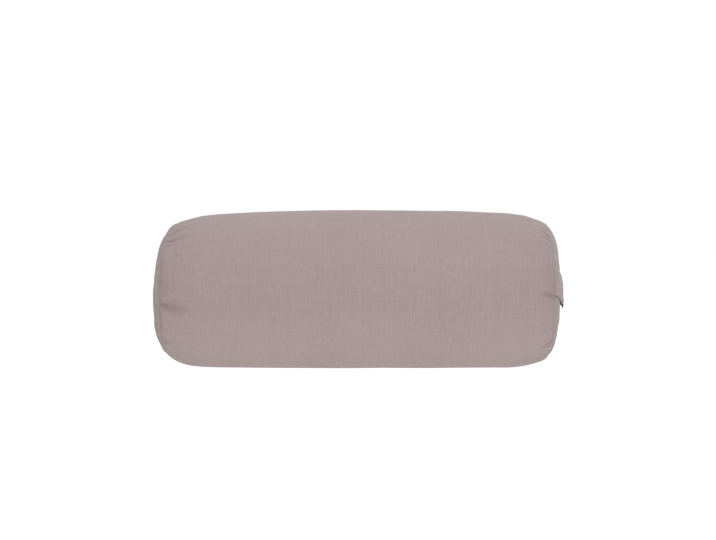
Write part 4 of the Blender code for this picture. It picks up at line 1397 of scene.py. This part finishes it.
class BOLSTER_OT_labels(bpy.types.Operator):
    """Builds the bare woven tab under the strap and the bare care label inside the cover"""

    bl_idname = "bolster.labels"
    bl_label = "Bare labels"

    def execute(self, context):
        chosen = settings().strap
        first, last = TAB_SPAN
        along = np.linspace(first, last, 13)
        outside = STRAP_THICKNESS + GAP
        leaf = [((outside + GAP) / 2, TAB_HEIGHT * s) for s in (1.0, 0.75, 0.5, 0.25, 0.08)]
        leaf += [(out * MM, up * MM) for out, up in TAB_PINCH]
        turn = [(TAB_FOLD_RADIUS * math.cos(t), -TAB_DROP - TAB_FOLD_RADIUS * math.sin(t))
                for t in np.linspace(0.3, math.pi / 2, 4)]
        half = leaf + turn
        middle = (outside - GAP) / 2
        fold = [(middle + out, up) for out, up in half] + [(middle - out, up) for out, up in half[-2::-1]]
        base = strap_face(along, -1.0)
        points = np.stack([base + np.array([beyond, 0.0, up]) for beyond, up in fold])
        steps = np.linspace(0.0, 2.3 * TAB_HEIGHT, len(fold))
        uv = flat_map((along - first) * STRAP_HALF_LENGTH, steps[:, None])
        tab = sheet_object("woven_side_tab", points, uv)
        face_outwards(tab, lambda centre: (centre.x - base[6][0] - middle, 0.0, 0.0))
        smooth(tab, 70.0)
        thicken(tab, TAB_CLOTH, offset=0.4)
        colour = tuple(chosen.tab_colour)
        dark = material_named("dark_woven_tab", satin_finish, colour, 0.42 * MM, 0.8, 0.1)
        give(tab, dark, stands_for=["side_label"])

        low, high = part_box("care_label")
        heights, breadths = np.linspace(low.z, high.z, 24), np.linspace(low.y, high.y, 15)
        up, wide = np.meshgrid(heights, breadths, indexing="ij")
        curl = 0.5 * MM * np.cos((up - low.z) * 90.0) * (wide / high.y) ** 2
        points = np.stack([-(end_face(-1, wide, up) - LABEL_DEPTH - curl), wide, up], -1)
        uv = flat_map(wide - low.y, up - low.z)
        label = cloth("satin_care_label", points, uv, lambda centre: (-1.0, 0.0, 0.0), LABEL_THICKNESS)
        satin = material_named("white_satin", satin_finish, (0.62, 0.61, 0.60), 0.35 * MM, 0.38)
        give(label, satin, stands_for=["care_label"])
        return {"FINISHED"}


# Stitching on the outside

def across_of(points, lift, closed=False):
    """The way across a line that lies on a surface, from its points and the surface's normals."""
    if closed:
        tangent = np.roll(points, -1, axis=0) - np.roll(points, 1, axis=0)
    else:
        tangent = np.gradient(points, axis=0)
    across = np.cross(lift, tangent)
    return across / np.maximum(np.linalg.norm(across, axis=1, keepdims=True), 1e-12)


def surface_line(tree, points, lift):
    places, normals = settle_on(tree, points, lift)
    return places, normals, across_of(places, normals), False


def strap_side_line(points):
    """A line of stitches on cloth that faces out past the strap end."""
    lift = np.broadcast_to([1.0, 0.0, 0.0], points.shape)
    return points, lift, across_of(points, lift), False


class BOLSTER_OT_stitching(bpy.types.Operator):
    """Sews the stitch rows along the zip, along the strap and on the tab"""

    bl_idname = "bolster.stitching"
    bl_label = "Stitching"

    def execute(self, context):
        chosen = settings().strap
        tree = tree_named("Running stitch", stitch_tree)
        thread = sewing_thread()
        inputs = {"Stitch length": chosen.stitch, "Gap": chosen.stitch_gap,
                  "Thread radius": chosen.thread, "Seed": 3, "Material": thread}
        cover = surface_tree(bpy.data.objects["canvas_tube"])
        lines = []
        row, end = SLOT_HALF_WIDTH + ZIP_STITCHING[0], ZIP_HALF_LENGTH + ZIP_STITCHING[1]
        for side in (-1, 1):
            x = np.linspace(-end, end, 260)
            station = x / seam_reach(x, ZIP_ANGLE)
            angle = ZIP_ANGLE + side * row / ZIP_RADIUS
            lines.append(surface_line(cover, tube_points(station, angle), chosen.thread * 0.3))
            arcs = np.linspace(-row, row, 12)
            for offset in (0.0, 1.3 * MM):
                station = side * (end + offset) / float(seam_reach(side, ZIP_ANGLE))
                bar = tube_points(station, ZIP_ANGLE + arcs / ZIP_RADIUS)
                lines.append(surface_line(cover, bar, chosen.thread * 0.3))
        made = grown("stitching_zip", tree, lines, inputs)
        give(made, thread)

        rows = [(np.linspace(-0.975, 0.975, 90), np.array(across)) for across in (-STITCH_ROW, STITCH_ROW)]
        rows += [(along, np.linspace(-0.8, 0.8, 12)) for along in (-STITCH_BAR, STITCH_BAR)]
        lines = []
        for along, across in rows:
            out = strap_outer(across, chosen) + chosen.thread * 0.25
            lines.append(strap_side_line(strap_place(along, across, out)))
        made = grown("stitching_strap", tree, lines, inputs)
        give(made, thread)

        along = np.linspace(TAB_SPAN[0] + 0.015, TAB_SPAN[1] - 0.015, 10)
        points = strap_face(along, -1.0)
        points += np.array([STRAP_THICKNESS + GAP + TAB_THICKNESS, 0.0, 0.8 * TAB_HEIGHT])
        black = material_named("tab_thread", thread_finish, tuple(chosen.tab_colour))
        made = grown("stitching_tab", tree, [strap_side_line(points)], {**inputs, "Material": black})
        give(made, black)
        return {"FINISHED"}


# The zip

def zip_line(x, height, arc):
    """Points on the zip's straight middle, at a height over the cover's face and an arc from its centre."""
    angle = ZIP_ANGLE + arc / ZIP_RADIUS
    radius = ZIP_RADIUS + height
    y, z = radius * math.cos(angle), AXIS_HEIGHT + radius * math.sin(angle)
    return np.stack([x, np.full_like(x, y), np.full_like(x, z)], -1)


class BOLSTER_OT_zip(bpy.types.Operator):
    """Builds the zip's tapes and coils, and finishes its metal"""

    bl_idname = "bolster.zip"
    bl_label = "Zip"

    def execute(self, context):
        chosen = settings().zip
        tape = material_named("zip_tape_weave", tape_finish, tuple(chosen.tape_colour))
        nylon = material_named("coil_nylon", nylon_finish, tuple(chosen.coil_colour))
        metal = material_named("plated_zinc", metal_finish, tuple(chosen.metal_colour))
        outward = np.array([0.0, math.cos(ZIP_ANGLE), math.sin(ZIP_ANGLE)])
        upward = np.array([0.0, -math.sin(ZIP_ANGLE), math.cos(ZIP_ANGLE)])
        near, far = TAPE_ARCS
        arcs = np.concatenate([[near, near + 0.35 * MM], np.linspace(1.6 * MM, far, 15)])
        x = np.linspace(-TAPE_HALF_LENGTH, TAPE_HALF_LENGTH, 137)
        station = x / seam_reach(x, ZIP_ANGLE)
        tree = tree_named("Wound thread", wound_tree)
        for side, level in ((-1, "lower"), (1, "upper")):
            angle = ZIP_ANGLE + side * arcs / ZIP_RADIUS
            points = tube_points(station[:, None], angle[None, :], inset=CANVAS + GAP)
            uv = flat_map((x - x[0])[:, None], arcs)
            strip = cloth(f"woven_tape_{level}", points, uv, from_axis, TAPE_THICKNESS)
            give(strip, tape, stands_for=[f"zip_tape_{level}"])

            inner, outer = COIL_REACH
            low, high = COIL_HEIGHT
            line = zip_line(np.linspace(-COIL_HALF_LENGTH, COIL_HALF_LENGTH, 300), (low + high) / 2, 0.0)
            line += upward * side * (inner + outer) / 2
            lift = np.broadcast_to(outward, line.shape)
            across = np.broadcast_to(upward, line.shape)
            coil = grown(f"coil_turns_{level}", tree, [(line, lift, across, False)], {
                "Pitch": chosen.pitch, "Reach across": (outer - inner) / 2 - chosen.wire,
                "Reach up": (high - low) / 2 - chosen.wire, "Thread radius": chosen.wire,
                "Phase": 0.0, "Steps per turn": 12.0, "Sides": 6, "Material": nylon})
            give(coil, nylon, stands_for=[f"zip_coil_{level}"])
        stops = ("zip_bottom_stop", "zip_top_stop_lower", "zip_top_stop_upper")
        for node in ("zip_slider", "zip_puller", *stops):
            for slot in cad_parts[node].material_slots:
                slot.material = metal
        return {"FINISHED"}


# Seams inside the cover, and the inner cushion

def wound_seam(name, layer, side, thickness, thread, groove):
    """Overlocking round both turned-in allowances of an end seam, as loops of thread."""
    angle = ZIP_ANGLE + TURN * np.arange(160) / 160
    slant = (ALLOWANCE - OVERLOCK_BITE / 2 + GAP) * DIAGONAL + groove
    rim = tube_points(float(side), angle, layer, slant=slant)
    inward = tube_points(float(side), angle, layer, slant=slant + MM) - rim
    inward /= np.linalg.norm(inward, axis=1, keepdims=True)
    rim[:, 0] += side * GAP
    lift = across_of(rim, inward, closed=True)
    tree = tree_named("Wound thread", wound_tree)
    return grown(name, tree, [(rim, lift, inward, True)], {
        "Pitch": OVERLOCK_PITCH, "Reach across": OVERLOCK_BITE / 2 + 0.5 * MM,
        "Reach up": thickness + GAP + 0.35 * MM, "Thread radius": OVERLOCK_THREAD,
        "Phase": 0.0, "Steps per turn": 8.0, "Sides": 4, "Material": thread})


def seam_strip(name, ends, depth, layer, material, node):
    """A strip of cloth behind the closing seam."""
    x = np.linspace(*ends, max(8, int((ends[1] - ends[0]) / (3 * MM))))
    arcs = np.linspace(-STRIP_HALF_BREADTH, STRIP_HALF_BREADTH, 9)
    angle = ZIP_ANGLE + arcs / ZIP_RADIUS
    station = x[:, None] / (seam_reach(x[:, None], angle[None, :]) - layer.setback)
    points = tube_points(station, angle[None, :], layer, inset=depth)
    uv = flat_map((x - x[0])[:, None], arcs + 6 * MM)
    strip = cloth(name, points, uv, from_axis, STRIP_THICKNESS)
    give(strip, material, stands_for=[node])


def build_casing_tube(cotton):
    """The casing's tube, kept inside the cover. Returns its faces, for the filling to keep inside of."""
    cover = surface_tree(bpy.data.objects["canvas_tube"])
    stations = np.concatenate(
        [np.linspace(-1, -0.86, 12)[:-1], np.linspace(-0.86, 0.86, 61), np.linspace(0.86, 1, 12)[1:]])
    edge = GAP / 2 / ZIP_RADIUS
    angle = np.linspace(ZIP_ANGLE + edge, ZIP_ANGLE + TURN - edge, 145)
    points = tube_points(stations[:, None], angle[None, :], LINER)
    first = turned_in(points[0], -1, angle, CASING_TUCKS, LINER)
    last = turned_in(points[-1], 1, angle, CASING_TUCKS, LINER)
    points = np.concatenate([first[::-1], points, last])
    flat_x = with_allowances((stations + 1) * CASING_HALF_LENGTH + 8 * MM, CASING_TUCKS)
    uv = flat_map((angle - ZIP_ANGLE) * CASING_FLAT_RADIUS, flat_x[:, None])
    tube = sheet_object("casing_tube", points, uv)
    keep_inside(tube, cover, CANVAS + CASING_ROOM)
    face_outwards(tube, from_axis)
    smooth(tube)
    thicken(tube, LINING)
    give(tube, cotton, stands_for=["liner_body"])
    return surface_tree(tube)


def build_casing_end(side, end, cotton):
    rings = np.concatenate([np.linspace(0.06, 0.8, 12), np.linspace(0.8, 1.0, 7)[1:]])
    turn = ZIP_ANGLE + TURN * np.arange(144) / 144
    points = end_points(side, rings[:, None], turn[None, :], LINER, clear=GAP)
    points = np.concatenate([points, turned_in(points[-1], side, turn, CASING_TUCKS, LINER)])
    uv = disc_map(CASING_DISC_RADIUS, rings, CASING_TUCKS, turn, 100 * MM)
    middle = end_points(side, 0.0, 0.0, LINER).reshape(3)
    disc = cloth(
        f"casing_end_{end}", points, uv, lambda centre: (side, 0.0, 0.0), LINING, wrap=True, pole=middle)
    give(disc, cotton, stands_for=[f"liner_end_{end}"])


def build_filling(fibre, casing):
    """The filling as one closed form, kept inside the casing's faces."""
    rings = np.linspace(0.08, 0.94, 11)
    turn = ZIP_ANGLE + TURN * np.arange(144) / 144
    stations = np.sin(np.linspace(-math.pi / 2, math.pi / 2, 81))
    points = np.concatenate([
        end_points(-1, rings[:, None], turn[None, :], FILL),
        tube_points(stations[:, None], turn[None, :], FILL),
        end_points(1, rings[::-1, None], turn[None, :], FILL)])
    filling = sheet_object("loose_filling", points, wrap=True)
    closed_up(filling.data)
    keep_inside(filling, casing, LINING + FILLING_ROOM)
    smooth(filling, 60.0)
    give(filling, fibre, stands_for=["filling"])


class BOLSTER_OT_inner_cushion(bpy.types.Operator):
    """Builds the seams inside the cover, the cotton casing and its filling"""

    bl_idname = "bolster.inner_cushion"
    bl_label = "Inner cushion"

    def execute(self, context):
        chosen = settings().inner
        groove = settings().cover.groove
        cover_thread = material_named(
            "overlock_thread", thread_finish, tuple(settings().strap.thread_colour))
        cotton_thread = material_named("casing_thread", thread_finish, tuple(chosen.thread))
        cotton = material_named(
            "casing_cotton", canvas_finish, tuple(chosen.cotton), 0.6 * MM, 0.8, 0.12, 0.05)
        fibre = material_named("loose_fibre", fibre_finish, tuple(chosen.fibre))
        binding = material_named("binding_tape", tape_finish, tuple(settings().zip.tape_colour))

        for side, end in ((-1, "left"), (1, "right")):
            seam = wound_seam(f"overlocking_{end}", COVER, side, CANVAS, cover_thread, groove)
            give(seam, cover_thread, stands_for=[f"cover_overlock_{end}"])
            low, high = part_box(f"closing_seam_binding_{end}")
            seam_strip(f"binding_{end}", (low.x, high.x), CANVAS + 2 * GAP + TAPE_THICKNESS, COVER,
                       binding, f"closing_seam_binding_{end}")

        casing = build_casing_tube(cotton)
        for side, end in ((-1, "left"), (1, "right")):
            build_casing_end(side, end, cotton)
            seam = wound_seam(f"casing_overlocking_{end}", LINER, side, LINING, cotton_thread, 0.0)
            give(seam, cotton_thread, stands_for=[f"liner_overlock_{end}"])
        low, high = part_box("liner_closing_seam")
        seam_strip("casing_closing_strip", (low.x, high.x), LINING + 2 * GAP, LINER,
                   cotton, "liner_closing_seam")
        build_filling(fibre, casing)
        return {"FINISHED"}


# The stage

def seen_directly(graph):
    """1 for what the camera, a reflection or a clear thing sees of a surface, 0 for the light it gives."""
    rays = [graph.node("ShaderNodeLightPath", output=name)
            for name in ("Is Camera Ray", "Is Glossy Ray", "Is Transmission Ray")]
    return rays[0].math("MAXIMUM", rays[1]).math("MAXIMUM", rays[2])


def looking(name, data, place, direction):
    """A camera or light, placed and turned to look along direction."""
    made = placed(name, data)
    made.location = place
    made.rotation_mode = "QUATERNION"
    made.rotation_quaternion = direction.to_track_quat("-Z", "Y")
    return made


def blank_graph(owner):
    """The emptied node tree of a new material or world."""
    owner.use_nodes = True
    owner.node_tree.nodes.clear()
    return Graph(owner.node_tree)


def soft_box(name, place, size, power):
    """A light that looks at the bolster."""
    light = bpy.data.lights.new(name, "AREA")
    light.shape = "RECTANGLE"
    light.size, light.size_y = size
    light.energy = power
    looking(name, light, place, Vector((0.0, 0.0, 0.1)) - Vector(place))


class BOLSTER_OT_stage(bpy.types.Operator):
    """Sets up the camera, the pale floor and the soft light"""

    bl_idname = "bolster.stage"
    bl_label = "Stage"

    def execute(self, context):
        chosen = settings().stage
        scene = context.scene
        scene.view_settings.view_transform = "Standard"

        lens = bpy.data.cameras.new("camera")
        lens.sensor_width = 36.0
        lens.lens = lens.sensor_width * chosen.distance / chosen.view_width
        lens.clip_end = 100.0
        aim = Vector((chosen.aim_across, 0.0, chosen.aim_height))
        back = Vector((0.0, -math.cos(chosen.elevation), math.sin(chosen.elevation)))
        scene.camera = looking("camera", lens, aim + back * chosen.distance, -back)

        half = 30.0
        mesh = bpy.data.meshes.new("floor")
        corners = [(-half, -half, 0), (half, -half, 0), (half, half, 0), (-half, half, 0)]
        mesh.from_pydata(corners, [], [(0, 1, 2, 3)])
        floor = placed("floor", mesh)
        floor.location.z = -0.2 * MM
        material = bpy.data.materials.new("pale_floor")
        graph = blank_graph(material)
        seen = seen_directly(graph)
        grain = graph.noise(graph.node("ShaderNodeTexCoord", output=3), scale=3.0)
        pale = graph.mixed(grain, (0.29, 0.29, 0.29), (0.31, 0.31, 0.31))
        matt = graph.node("ShaderNodeBsdfDiffuse", None, {"Color": pale})
        glow = graph.node("ShaderNodeEmission", None, {
            "Color": (1.0, 1.0, 1.0, 1.0), "Strength": chosen.floor_glow + chosen.floor_white * seen})
        both = graph.node("ShaderNodeAddShader", None, {0: matt, 1: glow})
        graph.close("ShaderNodeOutputMaterial", both)
        mesh.materials.append(material)

        world = bpy.data.worlds.new("studio")
        scene.world = world
        graph = blank_graph(world)
        seen = seen_directly(graph)
        strength = chosen.ambient + (1.0 - chosen.ambient) * seen
        white = (1.0, 1.0, 1.0, 1.0)
        light = graph.node("ShaderNodeBackground", None, {"Color": white, "Strength": strength})
        graph.close("ShaderNodeOutputWorld", light)

        soft_box("front_box", (0.4, -2.9, 0.65), (2.2, 1.2), chosen.front)
        soft_box("top_box", (0.0, -0.3, 2.9), (2.0, 1.8), chosen.top)
        soft_box("back_box", (0.0, 3.0, 0.9), (4.4, 2.6), chosen.back)
        return {"FINISHED"}


class BOLSTER_PT_pieces(bpy.types.Panel):
    """Lists the bolster's pieces and their settings"""

    bl_idname = "BOLSTER_PT_pieces"
    bl_label = "Round yoga bolster"
    bl_space_type = "VIEW_3D"
    bl_region_type = "UI"
    bl_category = "Bolster"

    def draw(self, context):
        groups = {
            "cover": ["bolster.cover"],
            "strap": ["bolster.strap", "bolster.labels", "bolster.stitching"],
            "zip": ["bolster.zip"],
            "inner": ["bolster.inner_cushion"],
            "stage": ["bolster.stage"],
        }
        for group, operators in groups.items():
            box = self.layout.box()
            for operator in operators:
                box.operator(operator)
            held = getattr(settings(), group)
            for name in held.__annotations__:
                box.prop(held, name)


CLASSES = (
    CoverSettings, StrapSettings, ZipSettings, InnerSettings, StageSettings, BolsterSettings,
    BOLSTER_OT_cover, BOLSTER_OT_strap, BOLSTER_OT_labels, BOLSTER_OT_stitching, BOLSTER_OT_zip,
    BOLSTER_OT_inner_cushion, BOLSTER_OT_stage, BOLSTER_PT_pieces,
)


def register():
    for item in CLASSES:
        bpy.utils.register_class(item)
    bpy.types.Scene.bolster = PointerProperty(
        type=BolsterSettings, name="Bolster", description="The bolster's sizes and colours")


def unregister():
    del bpy.types.Scene.bolster
    for item in reversed(CLASSES):
        bpy.utils.unregister_class(item)


def main():
    register()
    bpy.ops.bolster.cover()
    bpy.ops.bolster.strap()
    bpy.ops.bolster.labels()
    bpy.ops.bolster.zip()
    bpy.ops.bolster.stitching()
    bpy.ops.bolster.inner_cushion()
    bpy.ops.bolster.stage()


if __name__ == "__main__":
    main()
